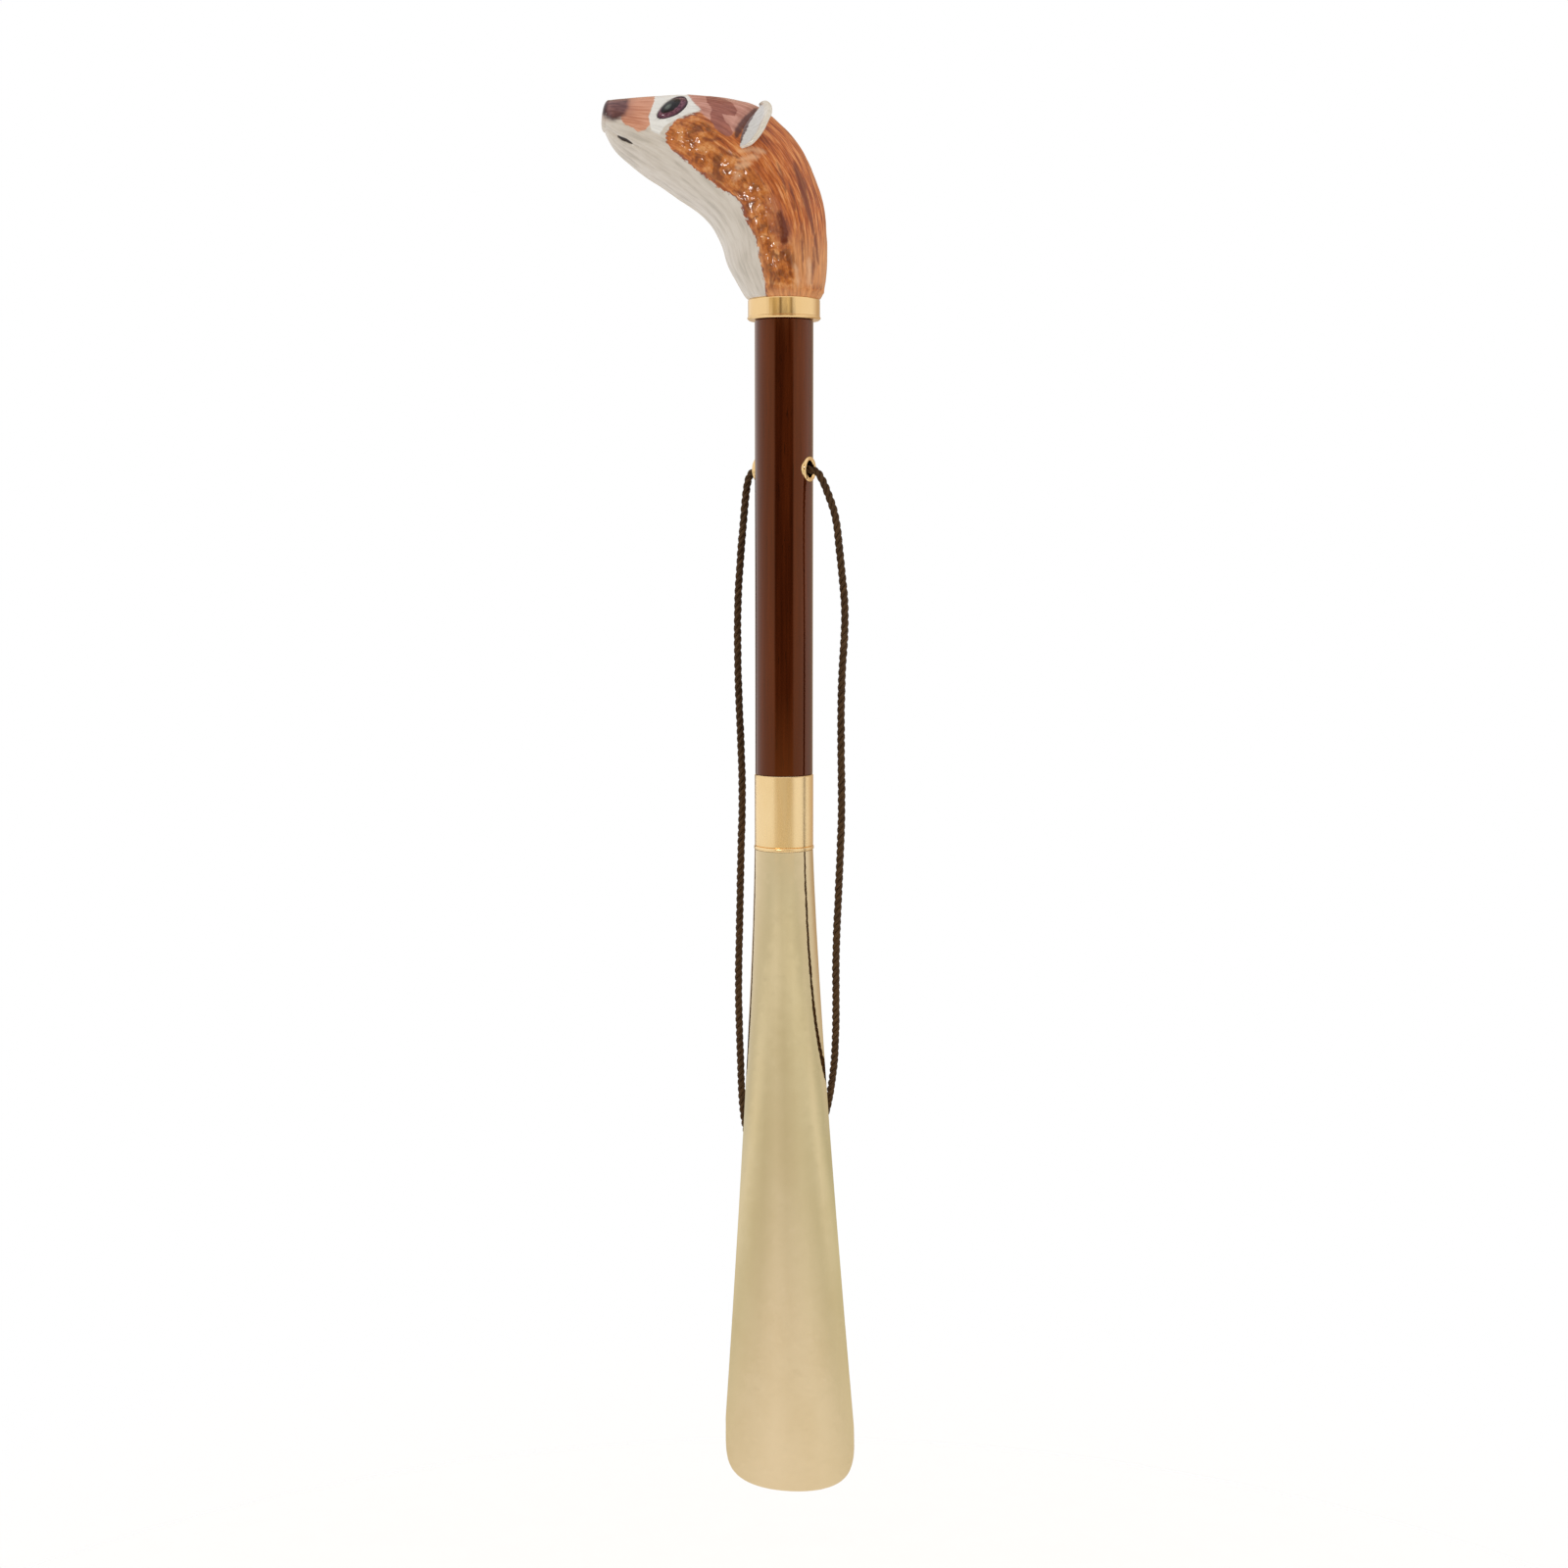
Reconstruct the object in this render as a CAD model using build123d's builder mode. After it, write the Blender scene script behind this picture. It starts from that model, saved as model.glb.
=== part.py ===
from build123d import *
import math
import os

# A long shoehorn: a polished brass blade under a lacquered wooden shaft, which carries a cast and
# enamelled animal's head. A twisted hanging cord runs through a cross bore in the shaft.
# Millimetres. +Z runs up the shaft's axis, the head looks along -X, and the blade's hollow opens
# towards +Y. The origin is on the shaft's axis, about halfway up the bare wood.

# Shaft
SHAFT_R = 10.3
GRIP_TOP = 80.2
GRIP_BOTTOM = -79.4
EDGE_BREAK = 0.3

# Fits: the radial gap of glued, pressed and screwed pieces, the gap round a stud that passes through,
# and how far a hole runs on past what it holds
FIT_GAP = 0.05
STUD_GAP = 0.5
HOLE_SPARE = 2.0

# Collar between shaft and head
COLLAR_R = 12.85
COLLAR_HEIGHT = 7.2
COLLAR_EDGE = 0.9
COLLAR_LIP = 0.5
SPIGOT_R = 8.6
TOP_SPIGOT_LENGTH = 4.2

# Screwed joint between shaft and head
NECK_STUD_R = 4.0
NECK_STUD_BELOW = 22.0
NECK_STUD_ABOVE = 20.0
NECK_INSERT_R = 6.0
NECK_INSERT_LENGTH = 18.0
NECK_INSERT_FLANGE_R = 7.2
NECK_INSERT_FLANGE = 1.2
STUD_CHAMFER = 0.7

# Ferrule and the screwed joint between shaft and blade
FERRULE_R = 10.5
FERRULE_WALL = 1.2
FERRULE_LENGTH = 25.6
FERRULE_CHAMFER = 0.25
BOTTOM_SPIGOT_LENGTH = 19.0
LIP_R = 10.75
LIP_HEIGHT = 1.4
LIP_ROUNDING = 0.5
BLADE_STUD_R = 3.0
BLADE_STUD_ABOVE = 26.0
BLADE_STUD_BELOW = 7.0
BLADE_INSERT_R = 5.0
BLADE_INSERT_LENGTH = 16.0
PLUG_BOSS_HEIGHT = 5.0
PLUG_HOLE_DEPTH = 5.7
PLUG_LENGTH = 17.0

# Blade: half width, depth of the trough and the set back of its middle all change on the way down
SHEET = 1.2
BLADE_TOP = GRIP_BOTTOM - FERRULE_LENGTH - LIP_HEIGHT
BLADE_TIP = -349.8
BLADE_FULL_WIDTH_Z = -326.0
TOP_HALF_WIDTH = 10.6
FULL_HALF_WIDTH = 24.5
WIDTH_POWER = 1.25
TOP_DEPTH = 10.6
TIP_DEPTH = 9.4
SET_BACK = 13.05
SET_BACK_POWER = 1.1
BLADE_TURN = 10.0
BLADE_STATIONS = 8
BLADE_OVERRUN = 4.0
TIP_CORNER_Z = -333.0
TIP_CORNER = 13.2
TIP_FLAT = 2.4
TRIM_DEPTH = 60.0

# Cross bore, its eyelets and the hanging cord
BORE_Z = 28.6
BORE_TURN = -28.0
BORE_R = 3.5
EYELET_HOLE_R = 2.9
EYELET_FLANGE_R = 4.5
EYELET_FACE = 10.7
EYELET_SEAT = 9.2
EYELET_SHANK_END = 4.0
EYELET_ROUNDING = 0.7
CORD_R = 1.4
CORD_TURN_OUT = 12.3
ARC_SHARE = 0.45
KNOT_CENTRE = (1.0, 9.6, -243.0)
KNOT_R = 4.4
KNOT_HALF_HEIGHT = 5.2
TAIL_LENGTHS = (14.0, 11.0)
TAIL_APART = 1.7
TAIL_SPLAY = 0.16
TAIL_FORWARD = 0.05
TAIL_ROOT = 2.5

# Head: each station is where the throat line and the back line cross its plane, as (x, z), and half
# the width there
HEAD_BASE = GRIP_TOP + COLLAR_HEIGHT
HEAD_BASE_R = 12.6
HEAD_STATIONS = [
    ((-16.6, 93.4), (14.2, 93.8), 13.4),
    ((-21.6, 104.0), (14.8, 106.5), 14.2),
    ((-28.0, 115.0), (12.6, 123.5), 14.6),
    ((-36.5, 121.2), (4.6, 138.6), 14.4),
    ((-44.0, 126.4), (-7.0, 152.0), 13.8),
    ((-50.8, 130.9), (-22.0, 156.0), 12.0),
    ((-57.2, 136.4), (-40.0, 156.8), 9.4),
    ((-61.2, 142.0), (-52.0, 156.0), 6.8),
    ((-63.4, 147.0), (-61.4, 154.6), 3.6),
]
NOSE_ROUNDING = 2.4
EYE_PLACE = (-38.2, 8.4, 151.4)
EYE_OUTWARD = (-0.28, 0.90, 0.33)
EYE_HALF_LENGTH = 3.3
EYE_HALF_HEIGHT = 2.4
EYE_SEAT_DEPTH = 2.6
EYE_STAND_OUT = 1.3
EYE_ALONG = (0.86, 0, 0.5)
EYE_ROUNDING = 1.1
EAR_TOP = (-3.6, 152.6)
EAR_BOTTOM = (-14.4, 138.4)
EAR_SPREAD = 17.6
EAR_THICKNESS = 2.4
EAR_CORNER = 7.0

parts_made = []


def finish(builder, name):
    """Labels a finished piece and writes it."""
    builder.part.label = name
    export_step(builder.part, f"parts/{name}.step")
    parts_made.append(name)


def bore_plane(side=1):
    """The cross bore's plane at the shaft's axis, its normal pointing out at the given side."""
    turn = math.radians(BORE_TURN)
    outward = Vector(side * math.cos(turn), side * math.sin(turn), 0)
    return Plane(origin=(0, 0, BORE_Z), x_dir=(0, 0, 1), z_dir=outward)


def blade_share(z):
    """0 at the blade's top and 1 where it reaches its full width."""
    return (BLADE_TOP - z) / (BLADE_TOP - BLADE_FULL_WIDTH_Z)


def blade_directions():
    """The directions across the blade and out of its hollow."""
    turn = math.radians(BLADE_TURN)
    return Vector(math.cos(turn), -math.sin(turn), 0), Vector(math.sin(turn), math.cos(turn), 0)


def blade_plane(z):
    """A level plane whose origin follows the blade's middle line."""
    across, hollow = blade_directions()
    middle = hollow * (SET_BACK * blade_share(z) ** SET_BACK_POWER)
    return Plane(origin=(middle.X, middle.Y, z), x_dir=across, z_dir=(0, 0, 1))


def blade_section(z, inset=0.0):
    """Radius, centre and half angle of the trough's outer arc at one height."""
    share = blade_share(z)
    half_width = TOP_HALF_WIDTH + (FULL_HALF_WIDTH - TOP_HALF_WIDTH) * share**WIDTH_POWER
    depth = TOP_DEPTH + (TIP_DEPTH - TOP_DEPTH) * share
    radius = (half_width**2 + depth**2) / (2 * depth)
    half_angle = math.asin(min(1.0, half_width / radius))
    return radius - inset, radius - TOP_HALF_WIDTH, half_angle


def arc_point(radius, centre_y, angle):
    return radius * math.sin(angle), centre_y - radius * math.cos(angle)


os.makedirs("parts", exist_ok=True)


# Wooden shaft, with a spigot at each end, bores for the inserts and the cross bore
with BuildPart() as wood_shaft:
    with BuildSketch(Plane.XY.offset(GRIP_BOTTOM)):
        Circle(SHAFT_R)
    extrude(amount=GRIP_TOP - GRIP_BOTTOM)
    chamfer(wood_shaft.edges().filter_by(GeomType.CIRCLE), EDGE_BREAK)
    with BuildSketch(Plane.XY.offset(GRIP_TOP)):
        Circle(SPIGOT_R)
    extrude(amount=TOP_SPIGOT_LENGTH)
    with BuildSketch(Plane.XY.offset(GRIP_BOTTOM)):
        Circle(FERRULE_R - FERRULE_WALL - FIT_GAP)
    extrude(amount=-BOTTOM_SPIGOT_LENGTH)
    shaft_top = GRIP_TOP + TOP_SPIGOT_LENGTH
    shaft_bottom = GRIP_BOTTOM - BOTTOM_SPIGOT_LENGTH
    with BuildSketch(Plane.XY.offset(shaft_top)):
        Circle(NECK_INSERT_R + FIT_GAP)
    extrude(amount=-(NECK_INSERT_LENGTH + HOLE_SPARE), mode=Mode.SUBTRACT)
    with BuildSketch(Plane.XY.offset(shaft_top)):
        Circle(NECK_INSERT_FLANGE_R + FIT_GAP)
    extrude(amount=-(NECK_INSERT_FLANGE + FIT_GAP), mode=Mode.SUBTRACT)
    with BuildSketch(Plane.XY.offset(shaft_top)):
        Circle(NECK_STUD_R + STUD_GAP)
    extrude(amount=-(NECK_STUD_BELOW + HOLE_SPARE), mode=Mode.SUBTRACT)
    with BuildSketch(Plane.XY.offset(shaft_bottom)):
        Circle(BLADE_INSERT_R + FIT_GAP)
    extrude(amount=BLADE_INSERT_LENGTH + HOLE_SPARE, mode=Mode.SUBTRACT)
    with BuildSketch(Plane.XY.offset(shaft_bottom)):
        Circle(BLADE_STUD_R + STUD_GAP)
    extrude(amount=BLADE_STUD_ABOVE + HOLE_SPARE, mode=Mode.SUBTRACT)
    with BuildSketch(bore_plane()):
        Circle(BORE_R + FIT_GAP)
    extrude(amount=SHAFT_R + HOLE_SPARE, both=True, mode=Mode.SUBTRACT)
    for side in (1, -1):
        with BuildSketch(bore_plane(side).offset(EYELET_SEAT)):
            Circle(EYELET_FLANGE_R + FIT_GAP)
        extrude(amount=SHAFT_R, mode=Mode.SUBTRACT)
finish(wood_shaft, "wood_shaft")


# Collar: a polished ring over the shaft's top spigot, with a thin lip along its lower edge
with BuildPart() as neck_collar:
    with BuildSketch(Plane.XZ):
        with BuildLine():
            top, bottom = HEAD_BASE, GRIP_TOP
            inner = NECK_STUD_R + STUD_GAP
            web = GRIP_TOP + TOP_SPIGOT_LENGTH + FIT_GAP
            Polyline(
                (inner, web),
                (SPIGOT_R + FIT_GAP, web),
                (SPIGOT_R + FIT_GAP, bottom),
                (COLLAR_R - COLLAR_LIP, bottom),
                (COLLAR_R, bottom + COLLAR_LIP),
                (COLLAR_R, bottom + COLLAR_EDGE),
                (COLLAR_R - COLLAR_LIP / 2, bottom + COLLAR_EDGE + COLLAR_LIP / 2),
                (COLLAR_R - COLLAR_LIP / 2, top - COLLAR_LIP),
                (COLLAR_R - COLLAR_LIP, top),
                (inner, top),
                close=True,
            )
        make_face()
    revolve(axis=Axis.Z)
finish(neck_collar, "neck_collar")


# Threaded insert in the shaft's top, and the stud that joins head and shaft
with BuildPart() as neck_insert:
    insert_top = GRIP_TOP + TOP_SPIGOT_LENGTH
    with BuildSketch(Plane.XY.offset(insert_top)):
        Circle(NECK_INSERT_FLANGE_R)
    extrude(amount=-NECK_INSERT_FLANGE)
    with BuildSketch(Plane.XY.offset(insert_top)):
        Circle(NECK_INSERT_R)
    extrude(amount=-NECK_INSERT_LENGTH)
    with BuildSketch(Plane.XY.offset(insert_top)):
        Circle(NECK_STUD_R + FIT_GAP)
    extrude(amount=-NECK_INSERT_LENGTH, mode=Mode.SUBTRACT)
finish(neck_insert, "neck_insert")

with BuildPart() as neck_stud:
    with BuildSketch(Plane.XY.offset(GRIP_TOP + TOP_SPIGOT_LENGTH - NECK_STUD_BELOW)):
        Circle(NECK_STUD_R)
    extrude(amount=NECK_STUD_BELOW + COLLAR_HEIGHT - TOP_SPIGOT_LENGTH + NECK_STUD_ABOVE)
    chamfer(neck_stud.edges().filter_by(GeomType.CIRCLE), STUD_CHAMFER)
finish(neck_stud, "neck_stud")


# Ferrule: a polished sleeve over the shaft's bottom spigot
with BuildPart() as ferrule:
    with BuildSketch(Plane.XY.offset(GRIP_BOTTOM)):
        Circle(FERRULE_R)
        Circle(FERRULE_R - FERRULE_WALL, mode=Mode.SUBTRACT)
    extrude(amount=-FERRULE_LENGTH)
    chamfer(ferrule.edges().filter_by(GeomType.CIRCLE).group_by(SortBy.RADIUS)[-1], FERRULE_CHAMFER)
finish(ferrule, "ferrule")


# Threaded insert in the shaft's bottom, and the stud that joins blade and shaft
with BuildPart() as blade_insert:
    with BuildSketch(Plane.XY.offset(GRIP_BOTTOM - BOTTOM_SPIGOT_LENGTH)):
        Circle(BLADE_INSERT_R)
        Circle(BLADE_STUD_R + FIT_GAP, mode=Mode.SUBTRACT)
    extrude(amount=BLADE_INSERT_LENGTH)
finish(blade_insert, "blade_insert")

with BuildPart() as blade_stud:
    with BuildSketch(Plane.XY.offset(GRIP_BOTTOM - BOTTOM_SPIGOT_LENGTH - BLADE_STUD_BELOW)):
        Circle(BLADE_STUD_R)
    extrude(amount=BLADE_STUD_BELOW + BLADE_STUD_ABOVE)
    chamfer(blade_stud.edges().filter_by(GeomType.CIRCLE), STUD_CHAMFER)
finish(blade_stud, "blade_stud")


# Plug: its boss fills the ferrule's end, its flange shows as a thin bright lip, and its half round
# tongue is brazed into the top of the blade
with BuildPart() as blade_plug:
    lip_top = GRIP_BOTTOM - FERRULE_LENGTH
    with BuildSketch(Plane.XY.offset(lip_top)):
        Circle(FERRULE_R - FERRULE_WALL - FIT_GAP)
    extrude(amount=PLUG_BOSS_HEIGHT)
    with BuildSketch(Plane.XY.offset(lip_top)):
        Circle(LIP_R)
    extrude(amount=-LIP_HEIGHT)
    fillet(blade_plug.edges().filter_by(GeomType.CIRCLE).group_by(SortBy.RADIUS)[-1], LIP_ROUNDING)
    for z in (BLADE_TOP, BLADE_TOP - PLUG_LENGTH / 2, BLADE_TOP - PLUG_LENGTH):
        radius, centre_y, half_angle = blade_section(z, SHEET + FIT_GAP)
        with BuildSketch(blade_plane(z)):
            with BuildLine():
                left = arc_point(radius, centre_y, -half_angle)
                right = arc_point(radius, centre_y, half_angle)
                ThreePointArc(left, arc_point(radius, centre_y, 0), right)
                Line(right, left)
            make_face()
    loft()
    with BuildSketch(Plane.XY.offset(lip_top + PLUG_BOSS_HEIGHT)):
        Circle(BLADE_STUD_R + FIT_GAP)
    extrude(amount=-PLUG_HOLE_DEPTH, mode=Mode.SUBTRACT)
finish(blade_plug, "blade_plug")


# Blade: a trough of formed sheet, half round at the top and wide and shallow at the tip
with BuildPart() as blade:
    for i in range(BLADE_STATIONS + 1):
        z = BLADE_TOP + (BLADE_TIP - BLADE_OVERRUN - BLADE_TOP) * i / BLADE_STATIONS
        radius, centre_y, half_angle = blade_section(z)
        with BuildSketch(blade_plane(z)):
            with BuildLine():
                outer = ThreePointArc(
                    arc_point(radius, centre_y, -half_angle),
                    arc_point(radius, centre_y, 0),
                    arc_point(radius, centre_y, half_angle),
                )
                inner = ThreePointArc(
                    arc_point(radius - SHEET, centre_y, half_angle),
                    arc_point(radius - SHEET, centre_y, 0),
                    arc_point(radius - SHEET, centre_y, -half_angle),
                )
                Line(outer @ 1, inner @ 0)
                Line(inner @ 1, outer @ 0)
            make_face()
    loft()
    across, hollow = blade_directions()
    with BuildSketch(Plane(origin=(0, 0, 0), x_dir=across, z_dir=-hollow)):
        with BuildLine():
            full = FULL_HALF_WIDTH
            corner = Bezier(
                (full, TIP_CORNER_Z),
                (full, TIP_CORNER_Z - TIP_CORNER),
                (full - TIP_FLAT, BLADE_TIP),
                (0, BLADE_TIP),
            )
            side = Line((full, BLADE_TOP), corner @ 0)
            Line((0, BLADE_TOP), side @ 0)
            mirror(about=Plane.YZ)
        make_face()
    extrude(amount=TRIM_DEPTH, both=True, mode=Mode.INTERSECT)
finish(blade, "blade")


# Eyelets: flanged brass tubes, one at each end of the cross bore
for side, name in ((1, "eyelet_right"), (-1, "eyelet_left")):
    with BuildPart() as eyelet:
        with BuildSketch(bore_plane(side).offset(EYELET_SHANK_END)):
            Circle(BORE_R)
        extrude(amount=EYELET_SEAT - EYELET_SHANK_END)
        with BuildSketch(bore_plane(side).offset(EYELET_SEAT)):
            Circle(EYELET_FLANGE_R)
        extrude(amount=EYELET_FACE - EYELET_SEAT)
        with BuildSketch(bore_plane(side).offset(EYELET_SHANK_END)):
            Circle(EYELET_HOLE_R)
        extrude(amount=EYELET_FACE, mode=Mode.SUBTRACT)
        outward = bore_plane(side).z_dir
        face = eyelet.faces().sort_by(Axis(origin=(0, 0, BORE_Z), direction=outward))[-1]
        fillet(face.edges(), EYELET_ROUNDING)
    finish(eyelet, name)


# Head: one casting with its ears, a blind threaded hole for the stud and a seat for each eye
def station_plane(throat, back):
    """A plane across the head through a throat point and a back point."""
    low = Vector(throat[0], 0, throat[1])
    high = Vector(back[0], 0, back[1])
    up_the_section = (high - low).normalized()
    return Plane(
        origin=(low + high) * 0.5,
        x_dir=up_the_section,
        z_dir=up_the_section.cross(Vector(0, 1, 0)),
    ), (high - low).length / 2


def eye_plane(side):
    x, y, z = EYE_PLACE
    out = Vector(EYE_OUTWARD[0], side * EYE_OUTWARD[1], EYE_OUTWARD[2]).normalized()
    return Plane(origin=(x, side * y, z), x_dir=EYE_ALONG, z_dir=out)


with BuildPart() as head_casting:
    with BuildSketch(Plane(origin=(0, 0, HEAD_BASE), x_dir=(1, 0, 0), z_dir=(0, 0, 1))):
        Circle(HEAD_BASE_R)
    for throat, back, half_width in HEAD_STATIONS:
        plane, half_height = station_plane(throat, back)
        with BuildSketch(plane):
            Ellipse(half_height, half_width)
    loft()
    nose = head_casting.faces().filter_by(GeomType.PLANE).sort_by(Axis.X)[0]
    fillet(nose.edges(), NOSE_ROUNDING)
    ear_top = Vector(EAR_TOP[0], 0, EAR_TOP[1])
    ear_bottom = Vector(EAR_BOTTOM[0], 0, EAR_BOTTOM[1])
    ear_line = ear_top - ear_bottom
    ear_plane = Plane(
        origin=(ear_top + ear_bottom) * 0.5,
        x_dir=ear_line.normalized(),
        z_dir=ear_line.normalized().cross(Vector(0, 1, 0)),
    )
    with BuildSketch(ear_plane):
        RectangleRounded(ear_line.length, 2 * EAR_SPREAD, EAR_CORNER)
    extrude(amount=EAR_THICKNESS / 2, both=True)
    with BuildSketch(Plane.XY.offset(HEAD_BASE)):
        Circle(NECK_STUD_R + FIT_GAP)
    extrude(amount=NECK_STUD_ABOVE + HOLE_SPARE, mode=Mode.SUBTRACT)
    for side in (1, -1):
        with BuildSketch(eye_plane(side).offset(-EYE_SEAT_DEPTH)):
            Ellipse(EYE_HALF_LENGTH + FIT_GAP, EYE_HALF_HEIGHT + FIT_GAP)
        extrude(amount=HEAD_BASE_R, mode=Mode.SUBTRACT)
finish(head_casting, "head_casting")


# Eyes: domed glass stones, glued into their seats
for side, name in ((1, "eye_left"), (-1, "eye_right")):
    with BuildPart() as eye:
        with BuildSketch(eye_plane(side).offset(-EYE_SEAT_DEPTH)):
            Ellipse(EYE_HALF_LENGTH, EYE_HALF_HEIGHT)
        extrude(amount=EYE_SEAT_DEPTH + EYE_STAND_OUT)
        outward = eye_plane(side).z_dir
        dome = eye.faces().sort_by(Axis(origin=(0, 0, 0), direction=outward))[-1]
        fillet(dome.edges(), EYE_ROUNDING)
    finish(eye, name)


# Cord: one length, from the knot up the right leg, through the cross bore and down the left leg
def on_bore_axis(distance):
    point = bore_plane().z_dir * distance
    return point.X, point.Y, BORE_Z


RIGHT_LEG = [
    (3.0, 9.9, -239.2),
    (6.9, 10.4, -232.4),
    (12.0, 9.8, -220.0),
    (15.9, 6.8, -204.4),
    (18.2, 2.0, -188.4),
    (18.9, -3.2, -168.0),
    (18.5, -6.4, -142.6),
    (19.6, -8.0, -117.4),
    (20.6, -8.4, -93.0),
    (20.1, -7.8, -69.0),
    (20.3, -7.6, -44.4),
    (21.8, -8.0, -22.0),
    (19.7, -8.7, -2.0),
    (18.3, -8.7, 12.0),
    (15.0, -7.8, 21.2),
    (12.8, -6.8, 26.0),
]
LEFT_LEG = [
    (-12.7, 6.8, 26.0),
    (-13.5, 7.2, 21.2),
    (-14.3, 7.6, 12.4),
    (-15.5, 7.8, -1.4),
    (-16.8, 7.9, -20.0),
    (-16.6, 8.0, -43.6),
    (-15.7, 8.3, -66.4),
    (-15.0, 8.2, -88.2),
    (-15.7, 8.6, -111.0),
    (-16.3, 9.2, -136.0),
    (-16.8, 10.2, -160.4),
    (-16.2, 11.8, -185.0),
    (-15.4, 13.4, -208.6),
    (-11.2, 13.4, -225.0),
    (-5.6, 11.9, -234.0),
    (-1.2, 10.4, -239.6),
]


def cord_corners(points):
    """The radius of the arc at each inner point of the cord's route."""
    radii = []
    for before, here, after in zip(points, points[1:], points[2:]):
        run_in = Vector(here) - Vector(before)
        run_out = Vector(after) - Vector(here)
        turn = math.radians(run_in.get_angle(run_out))
        shorter = min(run_in.length, run_out.length)
        radii.append(ARC_SHARE * shorter / math.tan(turn / 2))
    return radii


cord_route = RIGHT_LEG + [on_bore_axis(CORD_TURN_OUT), on_bore_axis(-CORD_TURN_OUT)] + LEFT_LEG
cord_radii = cord_corners(cord_route)
with BuildPart() as cord:
    with BuildLine() as cord_line:
        FilletPolyline(*cord_route, radius=cord_radii)
    path = cord_line.wire()
    with BuildSketch(Plane(origin=path @ 0, z_dir=path % 0)):
        Circle(CORD_R)
    sweep(path=path)
finish(cord, "cord")
print("cord length", round(path.length, 1))


# Knot: both ends of the cord tied together, with two short tails hanging from it
with BuildPart() as cord_knot:
    with BuildSketch(Plane(origin=KNOT_CENTRE, x_dir=(1, 0, 0), z_dir=(0, -1, 0))):
        Ellipse(KNOT_R, KNOT_HALF_HEIGHT)
        with Locations((-KNOT_R, 0)):
            Rectangle(2 * KNOT_R, 3 * KNOT_HALF_HEIGHT, mode=Mode.SUBTRACT)
    revolve(axis=Axis(origin=KNOT_CENTRE, direction=(0, 0, 1)))
    for lean, length in zip((-TAIL_APART, TAIL_APART), TAIL_LENGTHS):
        tail_start = Vector(KNOT_CENTRE) + Vector(lean, 0, TAIL_ROOT - KNOT_HALF_HEIGHT)
        tail_way = Vector(lean * TAIL_SPLAY, TAIL_FORWARD, -1)
        with BuildSketch(Plane(origin=tail_start, z_dir=tail_way)):
            Circle(CORD_R)
        extrude(amount=length)
finish(cord_knot, "cord_knot")

print(len(parts_made), "pieces:", ", ".join(parts_made))
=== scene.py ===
import math
import random

import bpy
import numpy as np
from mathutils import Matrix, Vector, noise


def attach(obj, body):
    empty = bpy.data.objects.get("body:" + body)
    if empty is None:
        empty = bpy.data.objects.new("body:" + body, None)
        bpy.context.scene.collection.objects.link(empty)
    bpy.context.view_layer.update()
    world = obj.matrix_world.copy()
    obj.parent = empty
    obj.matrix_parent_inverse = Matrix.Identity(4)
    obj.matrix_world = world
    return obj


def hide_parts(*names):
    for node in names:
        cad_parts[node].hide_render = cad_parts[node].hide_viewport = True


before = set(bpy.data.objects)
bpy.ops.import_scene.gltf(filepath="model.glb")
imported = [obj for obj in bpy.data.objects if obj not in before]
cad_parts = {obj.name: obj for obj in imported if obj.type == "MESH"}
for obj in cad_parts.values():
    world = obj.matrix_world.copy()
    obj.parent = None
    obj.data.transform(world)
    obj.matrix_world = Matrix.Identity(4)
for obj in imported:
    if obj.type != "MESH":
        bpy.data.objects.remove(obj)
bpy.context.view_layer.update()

# The looks of the long shoehorn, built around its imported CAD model. Blender works in metres. Shapes
# are worked out here in millimetres and turned into metres as they are made. The frame is the CAD's:
# +Z up the shaft, the head looks along -X and the blade's hollow opens towards +Y.
MM = 0.001
SEED = 20


# ---------------------------------------------------------------------------------------- camera
CAMERA_BACK = 0.768
CAMERA_HEIGHT = 0.0042
CAMERA_PITCH = 6.48
CAMERA_LENS = 49.5

camera_data = bpy.data.cameras.new("camera")
camera_data.sensor_width = 36
camera_data.lens = CAMERA_LENS
camera = bpy.data.objects.new("camera", camera_data)
camera.location = (0, -CAMERA_BACK, CAMERA_HEIGHT)
camera.rotation_euler = (math.radians(90 - CAMERA_PITCH), 0, 0)
bpy.context.scene.collection.objects.link(camera)
bpy.context.scene.camera = camera
bpy.context.scene.view_settings.view_transform = "Standard"


# ------------------------------------------------------------------------------------ mesh tools
def new_piece(name, vertices, faces, smooth=True):
    """A mesh object made of points in millimetres."""
    mesh = bpy.data.meshes.new(name)
    mesh.from_pydata((np.asarray(vertices) * MM).tolist(), [], faces)
    mesh.polygons.foreach_set("use_smooth", [smooth] * len(mesh.polygons))
    mesh.update()
    piece = bpy.data.objects.new(name, mesh)
    bpy.context.scene.collection.objects.link(piece)
    return piece


def ring_faces(rings, around, first=0, caps=True):
    """The faces of a tube of rings, each of the same number of points, closed at its ends."""
    row = np.arange(rings - 1)[:, None] * around
    here = np.arange(around)[None, :]
    beside = (here + 1) % around
    quads = np.stack([row + here, row + beside, row + around + beside, row + around + here], -1)
    faces = (quads.reshape(-1, 4) + first).tolist()
    if caps:
        faces.append([first + i for i in reversed(range(around))])
        faces.append([first + (rings - 1) * around + i for i in range(around)])
    return faces


def add_attribute(piece, name, values):
    """A number, or a vector of three, on each vertex for the materials to read."""
    values = np.asarray(values, np.float32)
    kind, key = ("FLOAT", "value") if values.ndim == 1 else ("FLOAT_VECTOR", "vector")
    attribute = piece.data.attributes.new(name, kind, "POINT")
    attribute.data.foreach_set(key, values.ravel())


def unit(vectors):
    return vectors / np.maximum(np.linalg.norm(vectors, axis=-1, keepdims=True), 1e-9)


def smoothstep(low, high, value):
    share = np.clip((value - low) / (high - low), 0, 1)
    return share * share * (3 - 2 * share)


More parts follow.
